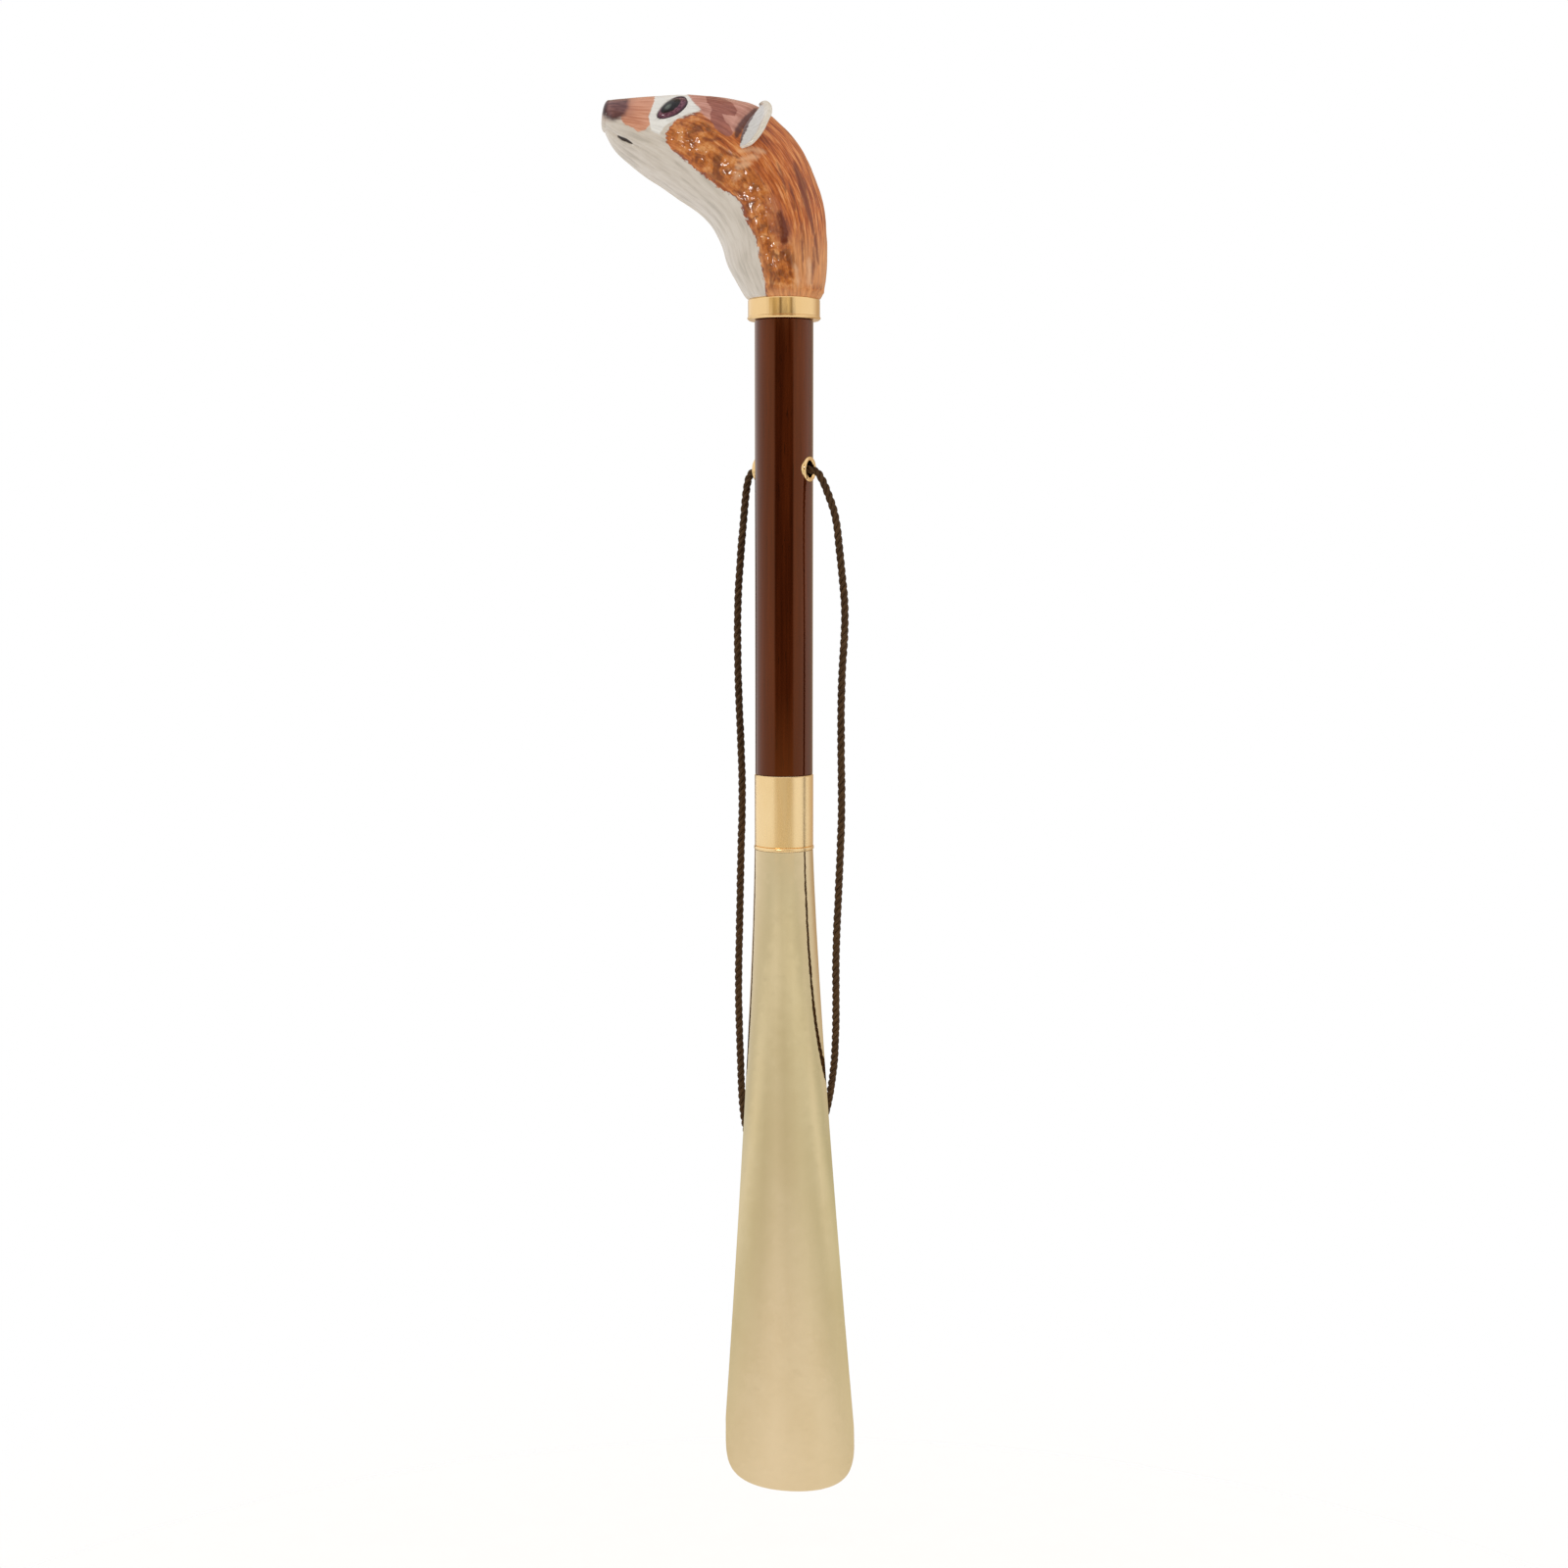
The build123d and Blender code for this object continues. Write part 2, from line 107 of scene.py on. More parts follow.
def noise_at(points, offset=0.0):
    """Smooth noise from about -1 to 1 at each point of an array."""
    flat = np.asarray(points, float).reshape(-1, 3) + offset
    return np.array([noise.noise(p) for p in flat.tolist()]).reshape(np.shape(points)[:-1])


# ------------------------------------------------------------------------------------- the cord
STRANDS = 3
STRAND_RADIUS = 0.66
LAY_RADIUS = 0.74
LAY_LENGTH = 8.0
YARNS = 4
YARN_RELIEF = 0.10
STRAND_POINTS = 16
RING_STEP = 0.4
KNOT_CENTRE = (1.0, 9.6, -243.0)
BORE_HEIGHT = 28.6
BORE_TURN = math.radians(-28)


def on_bore_axis(distance):
    return distance * math.cos(BORE_TURN), distance * math.sin(BORE_TURN), BORE_HEIGHT


RIGHT_ROUTE = [
    on_bore_axis(5.0), on_bore_axis(12.3), (12.8, -6.8, 26.0), (15.0, -7.8, 21.2), (18.3, -8.7, 12.0),
    (19.7, -8.7, -2.0), (21.8, -8.0, -22.0), (20.3, -7.6, -44.4), (20.1, -7.8, -69.0), (20.6, -8.4, -93.0),
    (19.6, -8.0, -117.4), (18.5, -6.4, -142.6), (18.9, -3.2, -168.0), (18.2, 2.0, -188.4),
    (15.9, 6.8, -204.4), (12.0, 9.8, -220.0), (6.9, 10.4, -232.4), (3.0, 9.9, -239.2),
]
LEFT_ROUTE = [
    on_bore_axis(-5.0), on_bore_axis(-12.3), (-12.7, 6.8, 26.0), (-13.5, 7.2, 21.2), (-14.3, 7.6, 12.4),
    (-15.5, 7.8, -1.4), (-16.8, 7.9, -20.0), (-16.6, 8.0, -43.6), (-15.7, 8.3, -66.4), (-15.0, 8.2, -88.2),
    (-15.7, 8.6, -111.0), (-16.3, 9.2, -136.0), (-16.8, 10.2, -160.4), (-16.2, 11.8, -185.0),
    (-15.4, 13.4, -208.6), (-11.2, 13.4, -225.0), (-5.6, 11.9, -234.0), (-1.2, 10.4, -239.6),
]


def route_line(name, route):
    """The points, in millimetres, of the smooth NURBS line that a route's points control."""
    data = bpy.data.curves.new(name, "CURVE")
    data.dimensions = "3D"
    spline = data.splines.new("NURBS")
    spline.points.add(len(route) - 1)
    for point, place in zip(spline.points, route):
        point.co = (*(c * MM for c in place), 1)
    spline.order_u = 3
    spline.use_endpoint_u = True
    spline.resolution_u = 24
    holder = bpy.data.objects.new(name, data)
    mesh = bpy.data.meshes.new_from_object(holder)
    line = np.array([v.co for v in mesh.vertices], float) / MM
    bpy.data.objects.remove(holder)
    bpy.data.meshes.remove(mesh)
    bpy.data.curves.remove(data)
    return line


def evenly(line, step):
    """The same line with its points evenly spaced."""
    run = np.concatenate([[0], np.cumsum(np.linalg.norm(np.diff(line, axis=0), axis=1))])
    places = np.linspace(0, run[-1], max(2, round(run[-1] / step) + 1))
    return np.stack([np.interp(places, run, line[:, i]) for i in range(3)], 1), places


def untwisted_frames(line):
    """The line's direction, and two directions across it that turn no more than they must."""
    along = unit(np.gradient(line, axis=0))
    start = np.array([0.0, 1.0, 0.0]) if abs(along[0][1]) < 0.9 else np.array([1.0, 0.0, 0.0])
    across = np.empty_like(line)
    across[0] = unit(start - along[0] * (start @ along[0]))
    for i in range(1, len(line)):
        turned = across[i - 1] - along[i] * (across[i - 1] @ along[i])
        across[i] = turned / np.linalg.norm(turned)
    return along, across, np.cross(along, across)


def rope(line, splay=0.0):
    """Vertices, faces and fibre coordinates of three twisted strands along a line, whose last few
    millimetres open up by the splay."""
    line, run = evenly(line, RING_STEP)
    _, across, beside = untwisted_frames(line)
    turn = np.linspace(0, 2 * math.pi, STRAND_POINTS, endpoint=False)
    vertices, faces, fibres = [], [], []
    opening = splay * smoothstep(run[-1] - 4, run[-1], run)
    for strand in range(STRANDS):
        angle = 2 * math.pi * (run / LAY_LENGTH + strand / STRANDS)
        outward = np.cos(angle)[:, None] * across + np.sin(angle)[:, None] * beside
        wander = 0.04 * np.sin(run * 0.9 + 2.1 * strand) + 0.03 * np.sin(run * 0.37 + strand)
        middle = line + outward * (LAY_RADIUS + wander + opening)[:, None]
        along = unit(np.gradient(middle, axis=0))
        outward = unit(outward - along * (outward * along).sum(1, keepdims=True))
        side = np.cross(along, outward)
        yarn_turn = turn[None, :] - 2 * math.pi * run[:, None] / (0.7 * LAY_LENGTH)
        radius = STRAND_RADIUS * (1 + YARN_RELIEF * (np.abs(np.cos(yarn_turn * YARNS / 2)) - 0.6))
        radius = radius * (1 - 0.45 * opening / max(splay, 1e-6))[:, None]
        rings = (
            middle[:, None]
            + (radius * np.cos(turn))[..., None] * outward[:, None]
            + (radius * np.sin(turn))[..., None] * side[:, None]
        )
        faces += ring_faces(len(line), STRAND_POINTS, first=len(vertices) * rings.shape[0] * STRAND_POINTS)
        vertices.append(rings.reshape(-1, 3))
        fibre = np.broadcast_arrays(run[:, None], yarn_turn, strand)
        fibres.append(np.stack(fibre, -1).reshape(-1, 3))
    return np.concatenate(vertices), faces, np.concatenate(fibres)


def rope_piece(name, lines, splay=0.0):
    """One piece of one or more runs of rope."""
    vertices, faces, fibres, count = [], [], [], 0
    for line in lines:
        more, more_faces, more_fibres = rope(line, splay)
        vertices.append(more)
        faces += [[i + count for i in face] for face in more_faces]
        fibres.append(more_fibres)
        count += len(more)
    piece = new_piece(name, np.concatenate(vertices), faces)
    add_attribute(piece, "fibre", np.concatenate(fibres))
    return piece


def knot_lines():
    """The knot's three turns round both legs, and the two tails that hang from it."""
    centre = np.array(KNOT_CENTRE)
    turns, radius, rise = 3.1, 2.95, 2.75
    angle = np.linspace(0, 2 * math.pi * turns, 220)
    height = (turns / 2 - angle / (2 * math.pi)) * rise
    ends_in = 1 - 0.55 * smoothstep(turns * 0.42, turns * 0.5, np.abs(angle / (2 * math.pi) - turns / 2))
    x = radius * ends_in * np.cos(angle) * (1 + 0.05 * np.sin(3 * angle))
    y = radius * ends_in * np.sin(angle)
    wrap = np.stack([x, y, height + 0.25 * np.sin(2 * angle + 1)], 1)
    tails = []
    for lean, length in ((-1.7, 14.0), (1.7, 11.0)):
        share = np.linspace(0, 1, 40)[:, None]
        way = np.array([lean * 0.16, 0.05, -1.0])
        sway = np.array([0.9 * np.sign(lean), 0.5, 0]) * (share**2)
        tails.append(centre + np.array([lean, 0, -2.7]) + way * length * share + sway)
    return [centre + wrap], tails


legs = {}
for side, route in (("right", RIGHT_ROUTE), ("left", LEFT_ROUTE)):
    line = route_line(f"route_{side}", route)
    legs[side] = (rope_piece(f"cord_{side}", [line]), line)
wraps, tails = knot_lines()
knot = rope_piece("knot", wraps + tails, splay=0.5)
for side, (piece, line) in legs.items():
    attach(piece, "cord_loop")
    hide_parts("cord")
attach(knot, "cord_loop")
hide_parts("cord_knot")
for side, sign in (("right", 1), ("left", -1)):
    piece, line = legs[side]


# ------------------------------------------------------------------------------------- materials
NOISE_SPAN = (0.3, 0.7)


class Nodes:
    """A node tree, with short calls for the sums that a material or the world is made of."""

    def __init__(self, owner):
        owner.use_nodes = True
        self.nodes = owner.node_tree.nodes
        self.links = owner.node_tree.links

    def put(self, node, key, value):
        """Links an output to an input, or sets the input to a number."""
        found = [s for s in node.inputs if s.name.lower() == str(key).lower() and s.enabled]
        socket = node.inputs[key] if isinstance(key, int) else found[0]
        if isinstance(value, bpy.types.NodeSocket):
            self.links.new(value, socket)
        elif socket.type == "RGBA" and len(value) == 3:
            socket.default_value = (*value, 1)
        else:
            socket.default_value = value

    def node(self, kind, settings=(), **inputs):
        made = self.nodes.new(kind)
        for key, value in dict(settings).items():
            setattr(made, key, value)
        for key, value in inputs.items():
            self.put(made, key.replace("_", " "), value)
        return made

    def fed(self, kind, settings, *values):
        """A new node with these values in its first inputs."""
        made = self.node(kind, settings)
        for i, value in enumerate(values):
            self.put(made, i, value)
        return made

    def maths(self, operation, *values):
        return self.fed("ShaderNodeMath", {"operation": operation}, *values).outputs[0]

    def vectors(self, operation, *values):
        return self.fed("ShaderNodeVectorMath", {"operation": operation}, *values)

    def between(self, value, low, high):
        """0 below low and 1 above high, with a soft step from one to the other."""
        soft = {"interpolation_type": "SMOOTHSTEP"}
        return self.fed("ShaderNodeMapRange", soft, value, low, high).outputs[0]

    def mix(self, share, a, b, blend="MIX"):
        made = self.node("ShaderNodeMix", {"data_type": "RGBA", "blend_type": blend})
        self.put(made, "Factor", share)
        self.put(made, "A", a)
        self.put(made, "B", b)
        return [s for s in made.outputs if s.enabled][0]

    def ramp(self, value, stops, low=0.0, high=1.0):
        """A colour for each value from low to high."""
        if (low, high) != (0.0, 1.0):
            value = self.fed("ShaderNodeMapRange", {}, value, low, high).outputs[0]
        made = self.node("ShaderNodeValToRGB", fac=value)
        elements = made.color_ramp.elements
        while len(elements) < len(stops):
            elements.new(0.5)
        for element, (place, colour) in zip(elements, stops):
            element.position = (place - low) / (high - low)
            element.color = (*colour, 1)
        return made.outputs["Color"]


class Finish(Nodes):
    """A material, with short calls for its colour, gloss and relief."""

    def __init__(self, name, **numbers):
        self.material = bpy.data.materials.new(name)
        super().__init__(self.material)
        self.shader = self.nodes["Principled BSDF"]
        for key, value in numbers.items():
            self.put(self.shader, key.replace("_", " "), value)

    def attribute(self, name, output="Fac"):
        made = self.node("ShaderNodeAttribute", {"attribute_name": name})
        return made.outputs[output]

    def place(self):
        return self.node("ShaderNodeTexCoord").outputs["Object"]

    def stretched(self, vector, scale):
        """The vector with each of its parts multiplied."""
        return self.vectors("MULTIPLY", vector, scale).outputs[0]

    def distance(self, vector, centre=(0, 0, 0)):
        away = self.vectors("SUBTRACT", vector, centre).outputs[0]
        return self.vectors("LENGTH", away).outputs["Value"]

    def noise(self, vector, scale=1.0, detail=3.0, roughness=0.55):
        made = self.node(
            "ShaderNodeTexNoise", vector=vector, scale=scale, detail=detail, roughness=roughness
        )
        return made.outputs["Fac"]

    def grain(self, vector, scale, detail=3.0, roughness=0.55):
        """Noise that is stretched by a different scale each way."""
        return self.noise(self.stretched(vector, scale), 1.0, detail, roughness)

    def bump(self, height, distance, strength=1.0):
        made = self.node("ShaderNodeBump", height=height, distance=distance * MM, strength=strength)
        self.put(self.shader, "Normal", made.outputs["Normal"])

    def colour(self, value):
        self.put(self.shader, "Base Color", value)

    def roughness(self, value, low, high):
        """The noise turned into a roughness from low to high."""
        made = self.fed("ShaderNodeMapRange", {}, value, *NOISE_SPAN, low, high)
        self.put(self.shader, "Roughness", made.outputs[0])


def cord_finish():
    """Dark brown twisted fibres."""
    finish = Finish("cord", metallic=0.0, specular_ior_level=0.25)
    fibre = finish.attribute("fibre", "Vector")
    fine = finish.grain(fibre, (0.9, 5.0, 3.1), 4.0, 0.65)
    patch = finish.grain(fibre, (0.12, 0.2, 1.7), 2.0)
    dark = finish.ramp(fine, [(0.30, (0.020, 0.0085, 0.0022)), (0.72, (0.105, 0.048, 0.013))])
    light = finish.ramp(fine, [(0.30, (0.036, 0.016, 0.0045)), (0.72, (0.150, 0.075, 0.024))])
    finish.colour(finish.mix(finish.between(patch, 0.4, 0.62), dark, light))
    finish.roughness(fine, 0.62, 0.85)
    finish.bump(fine, 0.10)
    return finish.material


def wood_finish():
    """Dark reddish wood with a faint grain, under a clear lacquer."""
    lacquer = {"coat_weight": 0.04, "coat_roughness": 0.02, "coat_ior": 1.45}
    finish = Finish("lacquered_wood", ior=1.75, specular_tint=(1.0, 0.35, 0.15), **lacquer)
    place = finish.place()
    grain = finish.grain(place, (900, 900, 26), 5.0, 0.6)
    figure = finish.grain(place, (160, 160, 9), 2.0)
    pores = finish.grain(place, (2600, 2600, 110), 1.0)
    tone = finish.ramp(grain, [(0.30, (0.028, 0.0036, 0.0006)), (0.70, (0.058, 0.0094, 0.0018))])
    warm = finish.ramp(grain, [(0.30, (0.044, 0.0060, 0.0010)), (0.70, (0.084, 0.0150, 0.0030))])
    wood = finish.mix(finish.between(figure, 0.40, 0.62), tone, warm)
    finish.colour(finish.mix(finish.between(pores, 0.66, 0.74), wood, (0.011, 0.002, 0.0008)))
    finish.roughness(grain, 0.035, 0.075)
    return finish.material


def brass_finish(name, colour, deep, roughness, lines, line_depth):
    """Polished metal with the fine lines of its polishing, which run as stretched by lines."""
    finish = Finish(name, metallic=1.0)
    place = finish.place()
    polish = finish.grain(place, lines, 4.0, 0.6)
    cloud = finish.grain(place, (60, 60, 40), 3.0)
    finish.colour(finish.mix(finish.between(cloud, 0.35, 0.70), colour, deep))
    finish.roughness(polish, *roughness)
    finish.bump(polish, line_depth)
    return finish.material


def steel_finish():
    """Plated thread."""
    finish = Finish("steel", metallic=1.0)
    place = finish.place()
    turned = finish.grain(place, (200, 200, 5000), 3.0)
    finish.colour(finish.ramp(turned, [(0.3, (0.45, 0.45, 0.47)), (0.7, (0.62, 0.62, 0.64))]))
    finish.roughness(turned, 0.25, 0.4)
    finish.bump(turned, 0.05)
    return finish.material


# Each brass: its colour, its deeper colour, its roughness, the run and depth of its lines, and the
# pieces that are made of it.
BRASSES = {
    "polished_brass": [
        (0.87, 0.61, 0.31), (0.83, 0.56, 0.26), (0.04, 0.09), (700, 700, 90), 0.004,
        ("neck_collar", "eyelet_right", "eyelet_left"),
    ],
    "satin_brass": [
        (0.92, 0.68, 0.37), (0.88, 0.63, 0.32), (0.24, 0.31), (700, 700, 50), 0.004,
        ("ferrule", "blade_plug"),
    ],
    "plain_brass": [
        (0.80, 0.62, 0.34), (0.74, 0.55, 0.28), (0.20, 0.32), (300, 300, 3000), 0.01,
        ("neck_insert", "blade_insert"),
    ],
    "blade_brass": [
        (0.745, 0.590, 0.365), (0.715, 0.560, 0.335), (0.08, 0.12), (900, 900, 24), 0.004,
        ("blade",),
    ],
}
wood = wood_finish()
steel = steel_finish()
cord_material = cord_finish()


def give(piece, material):
    piece.data.materials.clear()
    piece.data.materials.append(material)


for brass, (*look, names) in BRASSES.items():
    material = brass_finish(brass, *look)
    for name in names:
        give(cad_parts[name], material)
give(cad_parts["wood_shaft"], wood)
for name in ("neck_stud", "blade_stud"):
    give(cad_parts[name], steel)
for piece in (legs["right"][0], legs["left"][0], knot):
    give(piece, cord_material)


# --------------------------------------------------------------------------------------- the head
# Each station is where the throat line and the back line cross a section, as (x, z), and half the
# section's width, in millimetres, from the collar to the nose.
HEAD_STATIONS = [
    ((-12.5, 87.4), (12.5, 87.4), 12.5), ((-13.8, 88.6), (13.2, 88.5), 13.0),
    ((-16.6, 93.4), (14.3, 93.8), 13.5), ((-19.6, 99.0), (14.7, 100.0), 14.0),
    ((-21.7, 105.8), (14.7, 108.5), 14.4), ((-25.2, 112.4), (13.8, 118.0), 14.6),
    ((-29.9, 117.1), (10.8, 128.0), 14.5), ((-36.7, 121.6), (5.9, 138.2), 14.2),
    ((-42.9, 125.9), (-1.2, 146.6), 13.9), ((-47.9, 129.0), (-9.0, 152.4), 13.2),
    ((-53.1, 133.0), (-20.0, 155.4), 11.8), ((-57.5, 136.8), (-33.0, 156.6), 10.2),
    ((-60.0, 140.0), (-46.0, 156.2), 8.2), ((-61.3, 142.6), (-55.5, 155.5), 6.4),
    ((-61.9, 144.2), (-60.2, 155.0), 5.2),
]
HEAD_RINGS = 400
HEAD_AROUND = 340
NOSE_CAP = 1.9
NOSE_RINGS = 16
FLOW_RADIUS = 13.0
TUFTS = 300
TUFT_HEIGHT = 0.56
TUFT_BAND = 12.0

# The noises of the fur's relief: each one's scales along and round the head, and its offset.
FUR_NOISES = [((0.16, 1.5), 0.0), ((0.35, 3.4), 40.0), ((0.10, 0.22), 80.0), ((0.20, 0.30), 60.0)]

# The painted areas, each an outline in the side view, as (x, z) in millimetres. They are the same
# on both sides of the head.
AREAS = {
    "fur": [
        (-34.6, 158.0), (-33.0, 155.3), (-30.7, 151.9), (-28.7, 149.1), (-32.9, 148.0), (-36.6, 146.3),
        (-39.0, 144.3), (-40.3, 141.6), (-39.9, 138.5), (-38.5, 136.8), (-35.9, 134.6), (-33.0, 132.4),
        (-29.4, 129.1), (-24.9, 125.8), (-20.7, 122.6), (-16.4, 120.2), (-14.5, 117.3), (-13.5, 114.3),
        (-11.8, 110.7), (-10.1, 107.2), (-8.9, 103.8), (-8.1, 99.7), (-7.4, 95.6), (-6.5, 92.2),
        (-5.6, 80.0), (30.0, 80.0), (30.0, 170.0), (-34.6, 170.0),
    ],
    "eye_white": [
        (-45.4, 158.0), (-45.4, 150.6), (-46.6, 147.6), (-45.4, 143.0), (-42.6, 141.6), (-40.6, 144.4),
        (-36.6, 147.0), (-32.6, 148.9), (-28.2, 149.8), (-30.6, 152.4), (-33.0, 155.6), (-34.0, 158.0),
    ],
    "crown": [
        (-34.6, 170.0), (-33.0, 155.3), (-30.7, 151.9), (-28.7, 149.1), (-26.0, 146.6), (-21.5, 143.5),
        (-18.5, 140.6), (-14.6, 144.0), (-8.0, 151.5), (-2.0, 156.0), (-2.0, 170.0),
    ],
    "muzzle": [
        (-57.0, 170.0), (-57.0, 152.0), (-55.7, 146.9), (-54.4, 145.3), (-51.7, 144.2), (-50.0, 142.6),
        (-47.5, 143.2), (-45.8, 145.1), (-46.5, 147.9), (-45.6, 150.7), (-44.6, 153.5), (-43.6, 170.0),
    ],
    "nose": [
        (-54.2, 170.0), (-53.4, 154.4), (-53.4, 151.3), (-54.6, 148.9), (-56.4, 147.4), (-58.9, 147.0),
        (-61.6, 148.6), (-63.4, 150.0), (-70.0, 150.0), (-70.0, 170.0),
    ],
    "mauve": [
        (-26.9, 155.0), (-23.6, 155.4), (-20.4, 154.4), (-17.6, 152.3), (-16.0, 149.7), (-16.7, 147.6),
        (-19.3, 148.0), (-21.2, 148.4), (-20.3, 146.1), (-18.7, 144.2), (-17.3, 141.8), (-18.6, 140.2),
        (-20.9, 141.1), (-23.4, 143.0), (-24.8, 145.3), (-25.3, 148.0), (-24.4, 150.0), (-26.3, 152.4),
    ],
    "ear_brown": [
        (-9.0, 153.4), (-12.4, 151.6), (-15.0, 148.6), (-17.4, 144.4), (-18.0, 140.8), (-15.4, 139.4),
        (-10.4, 145.0), (-6.6, 150.6),
    ],
    "spot": [
        (-1.1, 115.8), (0.6, 112.6), (1.8, 108.8), (1.5, 105.4), (0.0, 104.1), (-1.4, 105.5),
        (-1.2, 108.6), (-1.6, 111.8), (-2.4, 114.6),
    ],
    "spot_edge": [
        (-6.1, 120.9), (-2.9, 120.2), (0.7, 115.2), (2.6, 108.1), (1.6, 103.0), (-1.9, 103.0), (-4.3, 108.1),
        (-5.8, 112.8), (-6.7, 117.5),
    ],
}

# The brush strokes, each a line in the side view and half its width.
STROKES = {
    "ear_shade": [
        ([(-9.4, 151.4), (-11.4, 148.2), (-13.8, 145.2), (-15.6, 142.6), (-16.4, 139.9)], 1.3),
    ],
    "pale": [
        ([(-15.5, 135.4), (-11.0, 136.2), (-6.4, 135.4)], 0.9),
        ([(-15.4, 132.6), (-11.5, 133.4), (-8.5, 133.6)], 1.0),
        ([(-16.6, 129.6), (-14.2, 130.8), (-11.2, 131.4)], 1.1),
        ([(-17.0, 126.0), (-15.8, 127.2), (-14.2, 127.8)], 0.9),
        ([(8.4, 100.0), (8.9, 95.6), (8.6, 91.4)], 0.8),
        ([(3.6, 97.6), (4.4, 94.0), (4.6, 90.6)], 0.6),
    ],
    "streaks": [
        ([(3.2, 132.8), (4.6, 129.0), (6.0, 125.3), (6.9, 121.1), (8.0, 116.4), (9.2, 112.0)], 1.25),
        ([(7.5, 119.9), (9.2, 113.3), (10.6, 106.7), (11.8, 98.5)], 0.6),
        ([(1.6, 126.0), (3.0, 121.0), (3.8, 116.0)], 0.32),
        ([(5.6, 112.0), (6.2, 105.0), (6.4, 99.0)], 0.36),
        ([(9.8, 104.0), (10.0, 98.0), (9.4, 92.0)], 0.42),
        ([(-2.4, 132.0), (-0.4, 126.5), (0.6, 122.0)], 0.3),
        ([(-22.0, 136.8), (-18.6, 134.6), (-15.0, 133.0)], 0.42),
        ([(-27.6, 139.6), (-24.4, 139.0), (-21.4, 139.6)], 0.5),
    ],
    "mouth": [
        ([(-57.4, 142.0), (-55.6, 141.0), (-54.0, 140.3), (-52.0, 139.0)], 0.55),
    ],
}
MOUTH = [(-61.9, 145.3), (-58.6, 142.9), (-56.2, 141.3), (-54.0, 140.3), (-51.3, 138.6), (-48.6, 137.4)]
NOSTRIL = [(-62.4, 150.8), (-61.2, 149.6), (-60.2, 149.2)]
SEAM_WIDTH = 0.55
FUR_RAGGED = 3.4
COLLAR_TOP = 87.4

# How far the finer relief stands out or is cut in.
EYELID = 0.38
EYE_SOCKET = 0.9
MOUTH_CUT = 0.35
LIP = 0.14
NOSTRIL_CUT = 0.45
FUR_STEP = 0.22

# The soft swellings and hollows of the head's sides: a height, a middle and the two half sizes.
BUMPS = [
    (0.9, (-29, 139), (9, 6)),
    (0.35, (-52, 141), (5, 3)),
    (-0.8, (-38.4, 150.6), (7.5, 4.6)),
    (0.45, (-37.5, 155.6), (6, 1.8)),
    (-0.5, (-48.5, 148.0), (4.5, 3.5)),
]


def curve_through(points, count):
    """Points along a smooth curve (Catmull-Rom) through the given ones."""
    points = np.array(points, float)
    ends = np.vstack([2 * points[0] - points[1], points, 2 * points[-1] - points[-2]])
    place = np.linspace(0, len(points) - 1, count)
    low = np.minimum(place.astype(int), len(points) - 2)
    share = (place - low)[:, None]
    a, b, c, d = (ends[low + i] for i in range(4))
    return 0.5 * (
        2 * b + (c - a) * share + (2 * a - 5 * b + 4 * c - d) * share**2 + (3 * b - a - 3 * c + d) * share**3
    )


def segment_distances(points, line):
    """The distance of each point to the nearest place on a line, and that place's share of it."""
    line = np.array(line, float)
    best = np.full(points.shape[:-1], 1e9)
    share = np.zeros(points.shape[:-1])
    for i, (start, end) in enumerate(zip(line, line[1:])):
        way = end - start
        along = np.clip(((points - start) @ way) / (way @ way), 0, 1)
        far = np.linalg.norm(points - start - along[..., None] * way, axis=-1)
        nearer = far < best
        best = np.where(nearer, far, best)
        share = np.where(nearer, (i + along) / (len(line) - 1), share)
    return best, share


def inside_distance(points, outline):
    """How deep each point lies inside an outline, negative outside it."""
    outline = np.array(outline, float)
    closed = np.vstack([outline, outline[:1]])
    far, _ = segment_distances(points, closed)
    x, z = points[..., 0], points[..., 1]
    crossings = np.zeros(points.shape[:-1], int)
    for (x1, z1), (x2, z2) in zip(closed, closed[1:]):
        level = (z1 > z) != (z2 > z)
        cut = x1 + (z - z1) * (x2 - x1) / (z2 - z1 if z2 != z1 else 1e-9)
        crossings += level & (x < cut)
    return np.where(crossings % 2 == 1, far, -far)


def stroke_depth(points, line, half_width):
    """How deep each point lies inside a tapering brush stroke."""
    far, share = segment_distances(points, line)
    width = half_width * np.sqrt(np.clip(4 * share * (1 - share), 0.02, 1))
    return width - far


def bell(points, centre, radii):
    """A soft bump in the side view, 1 at its centre."""
    away = (points - np.array(centre)) / np.array(radii)
    return np.exp(-(away**2).sum(-1))


EYE_MIDDLE = (-38.3, 151.0)
EYE_SLANT = math.radians(35)
EYE_HALF = (6.15, 2.95)
EYE_CORNERS = (1.35, 2.5)
EYE_DOME = 1.45
EYE_SINK = 0.75


def eye_coordinates(points):
    """Where side view points lie across the eye, in half lengths and half heights."""
    away = points - np.array(EYE_MIDDLE)
    along = away[..., 0] * math.cos(EYE_SLANT) + away[..., 1] * math.sin(EYE_SLANT)
    up = -away[..., 0] * math.sin(EYE_SLANT) + away[..., 1] * math.cos(EYE_SLANT)
    return along / EYE_HALF[0], up / EYE_HALF[1]


def eye_lid(along):
    """The half height of the eye's outline: pointed at its front corner and round at its back."""
    sharpness = np.where(along < 0, *EYE_CORNERS)
    return np.sqrt(np.clip(1 - np.clip(np.abs(along), 0, 1) ** sharpness, 0.0004, 1))


def eye_radius(points):
    """1 on the outline of the eye, less inside it."""
    along, up = eye_coordinates(points)
    return np.maximum(np.abs(along), np.abs(up) / eye_lid(along))


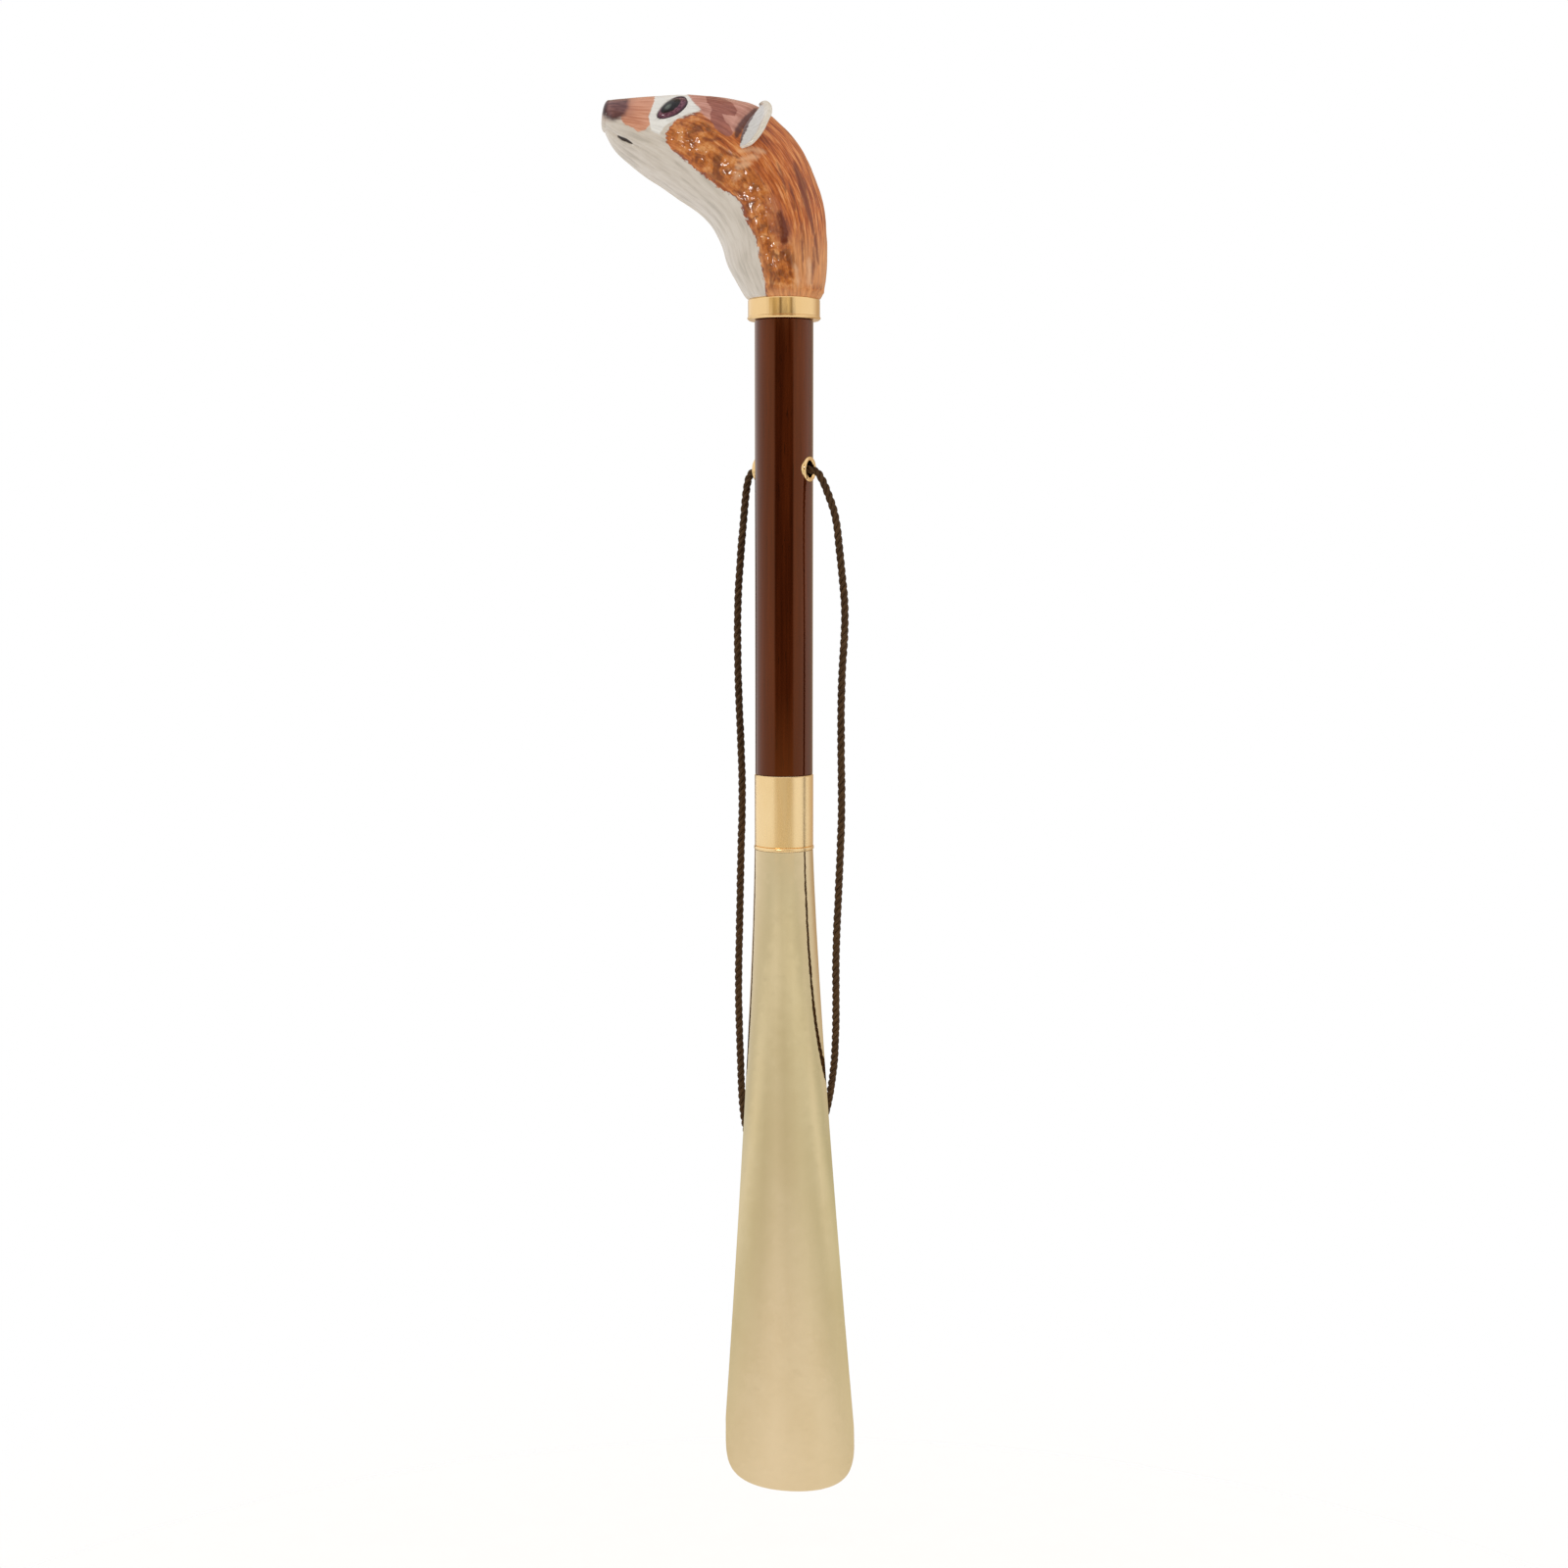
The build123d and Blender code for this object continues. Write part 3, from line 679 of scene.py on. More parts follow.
def head_grid():
    """The head's smooth surface: rings of points from the collar to the tip of the nose."""
    rows = curve_through([(*throat, *back, half) for throat, back, half in HEAD_STATIONS], HEAD_RINGS)
    throat, back, half_width = rows[:, 0:2], rows[:, 2:4], rows[:, 4:5]
    turn = np.linspace(0, 2 * math.pi, HEAD_AROUND, endpoint=False)
    middle, reach = (throat + back) / 2, (back - throat) / 2
    forward = unit(np.array([-(reach[-1][1]), reach[-1][0]]))
    for i in range(1, NOSE_RINGS + 1):
        share = math.sin(0.5 * math.pi * i / (NOSE_RINGS + 1))
        scale = (1 - share**2.6) ** (1 / 2.6)
        middle = np.vstack([middle, (throat[-1] + back[-1]) / 2 + forward * NOSE_CAP * share])
        reach = np.vstack([reach, (back[-1] - throat[-1]) / 2 * scale])
        half_width = np.vstack([half_width, rows[-1, 4:5] * scale])
    x = middle[:, 0:1] + reach[:, 0:1] * np.cos(turn)
    z = middle[:, 1:2] + reach[:, 1:2] * np.cos(turn)
    y = half_width * np.sin(turn)
    return np.stack([x, y, z], -1), turn


def grid_normals(grid):
    along = np.gradient(grid, axis=0)
    around = np.roll(grid, -1, axis=1) - np.roll(grid, 1, axis=1)
    return unit(np.cross(around, along))


def fur_tufts(flow, zone):
    """The relief of small, overlapping, leaf shaped tufts of fur where zone is positive, from 0 to 1."""
    draw = random.Random(SEED)
    height = np.zeros(zone.shape)
    spots = np.argwhere(zone > 0.1)
    for _ in range(TUFTS):
        row, column = spots[draw.randrange(len(spots))]
        s, w, side = flow[row, column]
        long, wide = draw.uniform(2.2, 4.4), draw.uniform(0.7, 1.5)
        turn = draw.gauss(0, 0.4)
        tall = draw.uniform(0.35, 1.0)
        curl = draw.uniform(-0.35, 0.35)
        ds, dw = flow[..., 0] - s, flow[..., 1] - w
        near = (np.abs(ds) < 4.4) & (np.abs(dw) < 3.2) & (flow[..., 2] * side > 0)
        along = ds[near] * math.cos(turn) + dw[near] * math.sin(turn)
        across = dw[near] * math.cos(turn) - ds[near] * math.sin(turn) + curl * along**2 / long
        t = along / long
        body = np.clip(1 - (across / (wide * (1 - 0.5 * np.clip(t, 0, 1)))) ** 2, 0, 1)
        rise = smoothstep(-1.0, 0.45, t) * (1 - smoothstep(0.55, 0.98, t))
        ridge = 1 + 0.16 * np.cos(across * 11)
        height[near] = np.maximum(height[near], tall * rise * body**0.6 * ridge)
    return height


def paint_depths(side_view):
    """How deep each point of the head lies inside each painted area and stroke, in millimetres."""
    x, z = side_view[..., 0], side_view[..., 1]
    depths = {name: inside_distance(side_view, outline) for name, outline in AREAS.items()}
    depths["fur_outside"] = SEAM_WIDTH - depths["fur"]
    # Painted shade: the nose is darker at its front edge and at its tip, where it turns away from the light.
    depths["nose_edge_shade"] = np.maximum(depths["nose"], x + 58.2)
    depths["nose_tip_shade"] = x + 62.6
    depths["nose_soft"] = np.minimum(-51.6 - x, z - 147.4)
    depths["low"] = 108.0 - z
    for name, strokes in STROKES.items():
        depths[name] = np.max([stroke_depth(side_view, *stroke) for stroke in strokes], axis=0)
    depths["eye_rim"] = (1 - eye_radius(side_view)) * EYE_HALF[1]
    return depths


def make_head():
    grid, turn = head_grid()
    normals = grid_normals(grid)
    side_view = grid[..., [0, 2]]
    on_side = np.abs(np.sin(turn))[None, :] ** 0.8
    step = np.linalg.norm(np.diff(grid, axis=0), axis=-1)
    run = np.concatenate([np.zeros((1, HEAD_AROUND)), np.cumsum(step, axis=0)])
    flow_s = run[-1].mean() * (1 - run / run[-1:])
    away = np.minimum(turn, 2 * math.pi - turn)[None, :] * FLOW_RADIUS
    hand = np.where(grid[..., 1] < 0, -1.0, 1.0)
    flow = np.stack([flow_s, np.broadcast_to(away, flow_s.shape), hand], -1)

    depths = paint_depths(side_view)
    strokes, fine, swell, bend = (
        noise_at(flow * np.array([*scale, 3.0]), offset) for scale, offset in FUR_NOISES
    )
    zone = np.minimum(depths["fur"] + 0.4, TUFT_BAND - depths["fur"] + 1.6 * swell)
    zone = np.minimum(zone, -depths["crown"])
    zone = np.minimum(zone, grid[..., 2] - COLLAR_TOP - 0.8)

    height = sum(tall * bell(side_view, middle, radii) * on_side for tall, middle, radii in BUMPS)
    height += 0.35 * bell(side_view, (-60.5, 151.5), (3.2, 3.6))
    radius = eye_radius(side_view)
    height += EYELID * np.exp(-((radius - 1.16) / 0.13) ** 2) * on_side
    height -= EYE_SOCKET * (1 - smoothstep(0.75, 1.02, radius)) * on_side
    far, share = segment_distances(side_view, MOUTH)
    mouth = LIP * np.exp(-(((far - 1.1) / 0.7) ** 2)) - MOUTH_CUT * np.exp(-((far / 0.42) ** 2))
    height += mouth * (1 - smoothstep(0.85, 1.0, share))
    nostril, _ = segment_distances(side_view, NOSTRIL)
    height -= NOSTRIL_CUT * np.exp(-((nostril / 0.55) ** 2)) * smoothstep(1.4, 2.6, np.abs(grid[..., 1]))

    in_fur = smoothstep(-0.4, 0.8, depths["fur"])
    in_nose = smoothstep(-0.3, 0.5, depths["nose"])
    height += in_fur * (0.16 * strokes + 0.07 * fine + 0.28 * swell)
    height += (1 - in_fur) * (1 - in_nose) * (0.045 * strokes + 0.02 * fine)
    height += FUR_STEP * smoothstep(-0.5, 0.7, depths["fur"])
    band = smoothstep(-0.6, 3.2, zone)
    bent = bend[..., None] * np.array([0.525, 1.35, 0])
    lumps = noise_at(flow * np.array([0.17, 0.66, 3.0]) + bent, 20.0)
    lumps = np.clip(np.abs(lumps) * 2.4, 0, 1)
    tufts = (0.4 * lumps + 0.6 * fur_tufts(flow, zone)) * band
    height += TUFT_HEIGHT * tufts
    settled = smoothstep(COLLAR_TOP, COLLAR_TOP + 2.6, grid[..., 2])
    tip = 1 - smoothstep(0.90, 1.0, np.linspace(0, 1, len(grid)))[:, None]
    rough = height * settled * np.maximum(tip, 0.15)
    surface = grid + normals * rough[..., None]

    piece = new_piece("head", surface.reshape(-1, 3), ring_faces(len(grid), HEAD_AROUND))
    add_attribute(piece, "flow", flow.reshape(-1, 3))
    for name, values in {**depths, "tuft": tufts / np.maximum(band, 0.3), "band": band}.items():
        add_attribute(piece, name, np.clip(values, -9, 9).ravel())
    return piece, grid, normals


head, head_surface, head_normals = make_head()


def surface_at(x, z, side):
    """The point of the head's smooth surface seen at a place in the side view, and the way out of it."""
    rows = head_surface.reshape(-1, 3)
    away = (rows[:, 0] - x) ** 2 + (rows[:, 2] - z) ** 2 + np.where(rows[:, 1] * side > 0, 0, 1e6)
    found = int(np.argmin(away))
    return rows[found], head_normals.reshape(-1, 3)[found]


# The ear's root line and its rim, as (x, z), and the rim's distance from the head's middle plane.
EAR_ROOT = [
    (-8.2, 151.6), (-10.4, 148.4), (-12.4, 145.0), (-14.0, 141.3), (-15.0, 138.5), (-15.2, 136.9),
]
EAR_RIM = [
    (-8.2, 152.5, 7.4), (-6.5, 152.6, 8.8), (-5.2, 151.1, 10.6), (-5.1, 148.7, 12.3), (-6.2, 145.8, 13.9),
    (-7.7, 142.5, 15.0), (-9.7, 139.6, 15.5), (-12.0, 137.5, 15.3), (-14.7, 136.7, 14.3),
]
EAR_RINGS = 84
EAR_THICK = 1.5
EAR_HOLLOW = 0.85
EAR_SUNK = -0.30


def make_ear(name, side):
    """One ear: a shallow shell that stands out from the head and leans back, its edge rounded."""
    root_line = curve_through(EAR_ROOT, EAR_RINGS)
    rim_line = curve_through(EAR_RIM, EAR_RINGS) * np.array([1, 1, side])
    roots = np.array([surface_at(x, z, side)[0] for x, z in root_line])
    soft = np.ones(9) / 9
    padded = np.pad(roots, ((4, 4), (0, 0)), "edge")
    roots = np.stack([np.convolve(padded[:, i], soft, "valid") for i in range(3)], 1)
    rims = rim_line[:, [0, 2, 1]]
    lengthwise = unit(np.gradient(roots + rims, axis=0))
    face_points, edge_points = 18, 11
    rings, shades = [], []
    for i, (root, rim) in enumerate(zip(roots, rims)):
        share = i / (EAR_RINGS - 1)
        way = rim - root
        reach = np.linalg.norm(way)
        hollow = unit(np.cross(lengthwise[i], way / reach))
        hollow = hollow if hollow[0] < 0 else -hollow
        thick = EAR_THICK * (0.45 + 0.55 * math.sin(math.pi * share) ** 0.5)
        front, back = [], []
        for j in range(face_points):
            q = EAR_SUNK + (1 - EAR_SUNK) * j / (face_points - 1)
            inner = min(max(q, 0), 1)
            sag = EAR_HOLLOW * math.sin(math.pi * inner) * math.sin(math.pi * share)
            lip = 0.35 * smoothstep(0.72, 0.9, inner) * thick / EAR_THICK
            middle = root + way * q - hollow * sag
            front.append((middle + hollow * (thick * 0.36 + lip), q))
            back.append((middle - hollow * (thick * 0.62 + 0.5 * lip), q))
        first, last = front[-1][0], back[-1][0]
        centre, half = (first + last) / 2, (first - last) / 2
        bulge = way / reach * np.linalg.norm(half)
        edge = []
        for j in range(1, edge_points):
            angle = math.pi * j / edge_points
            edge.append((centre + half * math.cos(angle) + bulge * math.sin(angle), 1.0))
        ring = front + edge + back[::-1]
        rings.append([p for p, _ in ring])
        face = [1.0] * len(front) + [0.5 + 0.5 * math.cos(math.pi * j / 10) for j in range(10)]
        face += [0.0] * len(back)
        shades.append([(q, f, share) for (_, q), f in zip(ring, face)])
    rings = np.array(rings)
    if side > 0:
        rings, shades = rings[:, ::-1], [row[::-1] for row in shades]
    piece = new_piece(name, rings.reshape(-1, 3), ring_faces(EAR_RINGS, rings.shape[1]))
    add_attribute(piece, "ear", np.array(shades).reshape(-1, 3))
    return piece


def make_eye(name, side):
    """One domed glass eye, pointed in front and round behind, set in its socket."""
    rings, around = 30, 112
    angle = np.linspace(0, 2 * math.pi, around, endpoint=False)
    near = np.abs(head_surface[..., [0, 2]] - np.array(EYE_MIDDLE)).max(-1) < 9
    near &= head_surface[..., 1] * side > 0
    seats, ways = head_surface[near], head_normals[near]
    points, shades = [], []
    for i in range(rings):
        radius = (i + 0.5) / (rings - 0.5) * 1.04
        along = radius * np.cos(angle)
        up = radius * np.sign(np.sin(angle)) * eye_lid(np.cos(angle)) * np.abs(np.sin(angle)) ** 0.25
        dx = along * EYE_HALF[0] * math.cos(EYE_SLANT) - up * EYE_HALF[1] * math.sin(EYE_SLANT)
        dz = along * EYE_HALF[0] * math.sin(EYE_SLANT) + up * EYE_HALF[1] * math.cos(EYE_SLANT)
        dome = EYE_DOME * math.sqrt(max(0.0, 1 - (radius / 1.05) ** 2)) - EYE_SINK
        for a, b, share, rise in zip(EYE_MIDDLE[0] + dx, EYE_MIDDLE[1] + dz, along, up):
            away = (seats[:, 0] - a) ** 2 + (seats[:, 2] - b) ** 2
            nearest = np.argsort(away)[:4]
            weight = 1 / (away[nearest] + 0.01)
            seat = (seats[nearest] * weight[:, None]).sum(0) / weight.sum()
            way = unit((ways[nearest] * weight[:, None]).sum(0))
            points.append(np.array([a, seat[1], b]) + way * dome)
            shades.append((share, rise, radius))
    piece = new_piece(name, points, ring_faces(rings, around))
    add_attribute(piece, "spot", np.array(shades))
    return piece


# Colours of the enamel, each at a value of the noise that mixes them.
WHITE = [(0.34, (0.56, 0.510, 0.455)), (0.46, (0.67, 0.605, 0.545)), (0.62, (0.74, 0.680, 0.625))]
RUSSET = [
    (0.34, (0.24, 0.048, 0.010)), (0.45, (0.47, 0.108, 0.019)), (0.54, (0.63, 0.180, 0.038)),
    (0.66, (0.86, 0.370, 0.130)),
]
AMBER = [
    (0.36, (0.34, 0.080, 0.010)), (0.46, (0.50, 0.140, 0.020)), (0.56, (0.70, 0.250, 0.060)),
    (0.68, (0.90, 0.470, 0.200)),
]
CURLS = [
    (0.37, (0.130, 0.030, 0.007)), (0.45, (0.380, 0.095, 0.013)), (0.54, (0.600, 0.180, 0.030)),
    (0.67, (0.860, 0.430, 0.170)),
]


def enamel_finish():
    """Hand painted enamel: russet fur, a pale throat, a dark nose and mauve marks on the crown."""
    finish = Finish("enamel", coat_weight=0.6, coat_roughness=0.12, coat_ior=1.45, specular_ior_level=0.15)
    flow = finish.attribute("flow", "Vector")
    strokes = finish.grain(flow, (0.10, 1.25, 2.0), 4.0, 0.62)
    hairs = finish.grain(flow, (0.16, 3.6, 2.0), 3.0, 0.6)
    patches = finish.grain(flow, (0.16, 0.28, 2.0), 2.0)
    edge = finish.grain(flow, (0.42, 1.1, 2.0), 4.0, 0.6)
    brushed = finish.grain(flow, (0.07, 0.75, 2.0), 3.0, 0.6)

    def area(name, ragged, softness=0.14):
        """1 inside a painted area, whose edge wanders by the ragged amount."""
        wander = finish.maths("MULTIPLY_ADD", edge, ragged, -0.5 * ragged)
        depth = finish.maths("ADD", finish.attribute(name), wander)
        return finish.between(depth, -softness, softness)

    def some(share, mask):
        return finish.maths("MULTIPLY", mask, share)

    white = finish.ramp(brushed, WHITE)
    white = finish.mix(some(0.5, finish.between(hairs, 0.60, 0.74)), white, (0.45, 0.41, 0.36))
    bright = finish.ramp(strokes, [(0.36, (0.78, 0.77, 0.77)), (0.60, (0.93, 0.93, 0.93))])
    russet = finish.ramp(strokes, RUSSET)
    tuft = finish.attribute("tuft")
    in_band = finish.attribute("band")
    blotch = finish.grain(finish.place(), (260, 260, 260), 3.0, 0.6)
    curls = finish.ramp(blotch, CURLS)
    curls = finish.mix(0.35, curls, finish.ramp(strokes, AMBER))
    # Painted shade in the valleys between the tufts, partly enamel pooled there, and a painted highlight on
    # the tufts' tops.
    curls = finish.mix(some(0.7, finish.between(tuft, 0.30, 0.06)), curls, (0.17, 0.036, 0.008))
    curls = finish.mix(some(0.3, finish.between(tuft, 0.66, 1.0)), curls, (0.90, 0.50, 0.23))
    fur = finish.mix(some(0.75, finish.between(hairs, 0.55, 0.66)), russet, (0.27, 0.058, 0.014))
    fur = finish.mix(some(0.6, finish.between(hairs, 0.40, 0.31)), fur, (0.86, 0.45, 0.23))
    fur = finish.mix(some(0.4, finish.between(finish.attribute("low"), -6.0, 8.0)), fur, (0.86, 0.46, 0.20))
    fur = finish.mix(in_band, fur, curls)
    crown = finish.ramp(strokes, [(0.36, (0.46, 0.185, 0.140)), (0.62, (0.70, 0.360, 0.300))])
    muzzle = finish.ramp(strokes, [(0.36, (0.58, 0.225, 0.135)), (0.62, (0.80, 0.405, 0.280))])
    nose = finish.ramp(patches, [(0.40, (0.110, 0.036, 0.042)), (0.60, (0.250, 0.110, 0.105))])
    # Painted shade darkens the nose at its front edge and tip.
    nose = finish.mix(finish.between(finish.attribute("nose_edge_shade"), 1.5, 0.3), nose, (0.045, 0.014, 0.020))
    nose = finish.mix(finish.between(finish.attribute("nose_tip_shade"), 2.6, 0.8), nose, (0.050, 0.020, 0.026))
    mauve = finish.ramp(strokes, [(0.36, (0.240, 0.066, 0.049)), (0.64, (0.450, 0.160, 0.120))])

    paint = finish.mix(area("fur", FUR_RAGGED, 0.10), white, fur)
    seam = finish.maths(
        "MULTIPLY", area("fur", FUR_RAGGED, 0.45), area("fur_outside", -FUR_RAGGED, 0.45)
    )
    seam = finish.maths("MULTIPLY", seam, finish.between(patches, 0.42, 0.56))
    paint = finish.mix(seam, paint, (0.20, 0.070, 0.060))
    for share, name, ragged, softness, colour in (
        (0.60, "pale", 2.6, 1.0, (0.92, 0.56, 0.34)),
        (1.00, "crown", 1.3, 0.5, crown),
        (1.00, "eye_white", 0.9, 0.30, bright),
        (0.25, "ear_brown", 1.4, 0.6, (0.26, 0.090, 0.055)),
        (1.00, "mauve", 1.1, 0.2, mauve),
        (0.85, "ear_shade", 0.9, 0.5, (0.085, 0.024, 0.024)),
        (1.00, "muzzle", 1.0, 0.2, muzzle),
        (0.35, "nose_soft", 1.8, 1.6, (0.34, 0.135, 0.110)),
        (1.00, "nose", 1.4, 1.1, nose),
        (0.45, "spot_edge", 3.0, 1.2, (0.42, 0.130, 0.070)),
        (0.95, "spot", 2.6, 0.7, (0.140, 0.020, 0.004)),
        (0.80, "streaks", 1.6, 0.6, (0.17, 0.034, 0.014)),
        (1.00, "eye_rim", 0.0, 0.16, (0.060, 0.016, 0.030)),
        (1.00, "mouth", 0.2, 0.16, (0.030, 0.018, 0.016)),
    ):
        paint = finish.mix(some(share, area(name, ragged, softness)), paint, colour)
    finish.colour(paint)
    finish.roughness(strokes, 0.35, 0.55)
    finish.bump(strokes, 0.05, 0.5)
    return finish.material


def ear_finish():
    """Grey white enamel inside the ear, cream on its edge, a painted shadow line at its root, russet behind.
    """
    finish = Finish("ear_enamel", coat_weight=1.0, coat_roughness=0.035, coat_ior=1.55)
    ear = finish.attribute("ear", "Vector")
    height, face, _ = finish.node("ShaderNodeSeparateXYZ", vector=ear).outputs
    grain = finish.grain(ear, (4, 2, 22), 3.0)
    wander = finish.maths("MULTIPLY_ADD", grain, 0.20, -0.10)
    height = finish.maths("ADD", height, wander)
    pale = finish.ramp(grain, [(0.34, (0.64, 0.630, 0.640)), (0.62, (0.70, 0.690, 0.705))])
    cream = finish.ramp(grain, [(0.34, (0.72, 0.65, 0.56)), (0.62, (0.80, 0.74, 0.66))])
    # The dark colour is a painted shadow, laid along the ear's root where it meets the head.
    dark = finish.ramp(grain, [(0.34, (0.07, 0.025, 0.025)), (0.62, (0.17, 0.070, 0.060))])
    russet = finish.ramp(grain, [(0.34, (0.42, 0.12, 0.04)), (0.62, (0.66, 0.25, 0.10))])
    front = finish.mix(finish.between(height, 0.08, 0.16), dark, pale)
    front = finish.mix(finish.between(height, 0.66, 0.80), front, cream)
    back = finish.mix(finish.between(height, 0.80, 0.60), cream, russet)
    finish.colour(finish.mix(finish.between(face, 0.05, 0.25), back, front))
    finish.roughness(grain, 0.22, 0.36)
    finish.bump(grain, 0.04, 0.5)
    return finish.material


def eye_finish():
    """A dark pupil with a painted grey green reflection at its heart, inside a plum coloured rim, under
    clear glass.
    """
    finish = Finish("eye_glass", coat_weight=0.12, coat_roughness=0.05, specular_ior_level=0.25)
    spot = finish.attribute("spot", "Vector")
    mottle = finish.noise(spot, 6.0, 3.0)
    wander = finish.maths("MULTIPLY_ADD", mottle, 0.22, -0.11)

    def distance(centre, scale):
        scaled = [c * k for c, k in zip(centre, scale)]
        return finish.maths("ADD", finish.distance(finish.stretched(spot, scale), scaled), wander)

    pupil = finish.between(distance((-0.02, 0.20, 0), (1.30, 1.20, 0)), 0.94, 0.74)
    # A painted reflection: a soft grey green spot in the pupil, coloured like an iris.
    reflection_spot = finish.between(distance((-0.20, 0.18, 0), (2.6, 2.2, 0)), 0.80, 0.15)
    shade = finish.between(distance((0.0, 0.0, 0), (1, 1, 0)), 0.80, 0.98)
    plum = finish.ramp(mottle, [(0.35, (0.080, 0.020, 0.050)), (0.65, (0.250, 0.105, 0.150))])
    black = finish.ramp(mottle, [(0.35, (0.004, 0.003, 0.005)), (0.65, (0.016, 0.013, 0.017))])
    reflection_colour = finish.ramp(mottle, [(0.35, (0.085, 0.105, 0.098)), (0.65, (0.190, 0.215, 0.200))])
    painted = finish.mix(pupil, plum, black)
    painted = finish.mix(reflection_spot, painted, reflection_colour)
    finish.colour(finish.mix(shade, painted, (0.050, 0.020, 0.034)))
    finish.roughness(mottle, 0.05, 0.14)
    return finish.material


enamel, ear_enamel, eye_glass = enamel_finish(), ear_finish(), eye_finish()
give(head, enamel)
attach(head, "shoehorn")
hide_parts("head_casting")
for name, side in (("left", 1), ("right", -1)):
    ear = make_ear(f"ear_{name}", side)
    give(ear, ear_enamel)
    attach(ear, "shoehorn")
    eye = make_eye(f"eye_stone_{name}", side)
    give(eye, eye_glass)
    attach(eye, "shoehorn")
    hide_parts(f"eye_{name}")


# ------------------------------------------------------------------------------- floor and light
FLOOR_HEIGHT = -0.60
FLOOR_RADIUS = 1.5
FLOOR_FADE = (0.02, 0.62)
FLOOR_GLOW = 0.19

# The room's light by the height above the level and by the turn from the camera's side, both in
# degrees: pale walls, with soft streaks below, a darker opening behind the camera with warm and dark
# strips above it, and warmer walls behind the part.
ROOM = [
    (-40, (0.97, 0.97, 0.97)), (-30.5, (0.94, 0.94, 0.97)), (-26.5, (0.88, 0.88, 0.86)),
    (-23.9, (0.81, 0.81, 0.75)), (-20.7, (0.77, 0.78, 0.70)), (-19.0, (0.83, 0.85, 0.79)),
    (-17.0, (0.95, 0.97, 0.91)), (-14.1, (0.74, 0.76, 0.70)), (-10.0, (0.88, 0.88, 0.86)),
    (-8.5, (1.0, 1.0, 1.0)),
]
STREAKS = [
    (-130, (0.96, 0.96, 0.96)), (-95, (1.0, 1.0, 1.0)), (-62, (0.92, 0.92, 0.91)),
    (-34, (0.99, 0.99, 1.0)), (-12, (0.90, 0.90, 0.88)), (22, (0.99, 1.0, 0.99)), (50, (0.93, 0.94, 0.92)),
    (66, (1.0, 1.0, 0.99)), (92, (0.80, 0.82, 0.76)), (112, (0.90, 0.91, 0.87)),
]
STREAKS_BELOW = (-12, -15)
OPENING = [
    (-13, (0.86, 0.84, 0.80)), (-9, (0.95, 0.80, 0.52)), (-6.5, (0.90, 0.70, 0.36)),
    (-4, (0.20, 0.13, 0.08)), (-1, (0.08, 0.07, 0.06)),
]
OPENING_SIDES = (42, 32)
OPENING_FOOT = (-15, -9)
OPENING_TOP = (50, 34)
STRIPS_FROM = (5.60, 5.85)
STRIPS_SIDES = (60, 55)
STRIPS = [
    (-50, (0.92, 0.90, 0.86)), (-47, (0.70, 0.58, 0.35)), (-30, (0.74, 0.60, 0.34)),
    (-17, (0.72, 0.58, 0.34)), (-11, (0.26, 0.20, 0.12)), (-5, (0.74, 0.66, 0.50)),
    (14, (0.90, 0.80, 0.58)), (24, (0.40, 0.33, 0.22)), (31, (1.00, 0.98, 0.94)),
]
BEHIND_RIGHT = (95, 140)
BEHIND_LEFT = (140, 175)
BEHIND = (0.60, 0.48, 0.35)
GLINT_PLACE = (-0.33, -0.90, 0.31)
GLINT_SIZE = 0.09
GLINT_POWER = 2.4


def make_floor():
    """A plain white floor, well below the part, that fades into the bright room around it."""
    rings, around = 24, 96
    radius = FLOOR_RADIUS * (np.arange(1, rings + 1) / rings) ** 1.5
    angle = np.linspace(0, 2 * math.pi, around, endpoint=False)
    x, y = radius[:, None] * np.cos(angle), radius[:, None] * np.sin(angle)
    points = np.stack(np.broadcast_arrays(x, y, FLOOR_HEIGHT), -1)
    faces = ring_faces(rings, around, caps=False)
    faces.append(list(reversed(range(around))))
    floor = new_piece("floor", points.reshape(-1, 3) / MM, faces, smooth=False)
    finish = Finish("floor", roughness=0.9, emission_strength=FLOOR_GLOW)
    place = finish.place()
    cloth = finish.noise(place, 40.0, 3.0)
    finish.colour(finish.ramp(cloth, [(0.3, (0.95, 0.95, 0.95)), (0.7, (0.97, 0.97, 0.97))]))
    distance = finish.distance(finish.stretched(place, (1, 1, 0)))
    fade = finish.between(distance, *(share * FLOOR_RADIUS for share in FLOOR_FADE))
    finish.put(finish.shader, "Alpha", finish.maths("SUBTRACT", 1.0, fade))
    give(floor, finish.material)


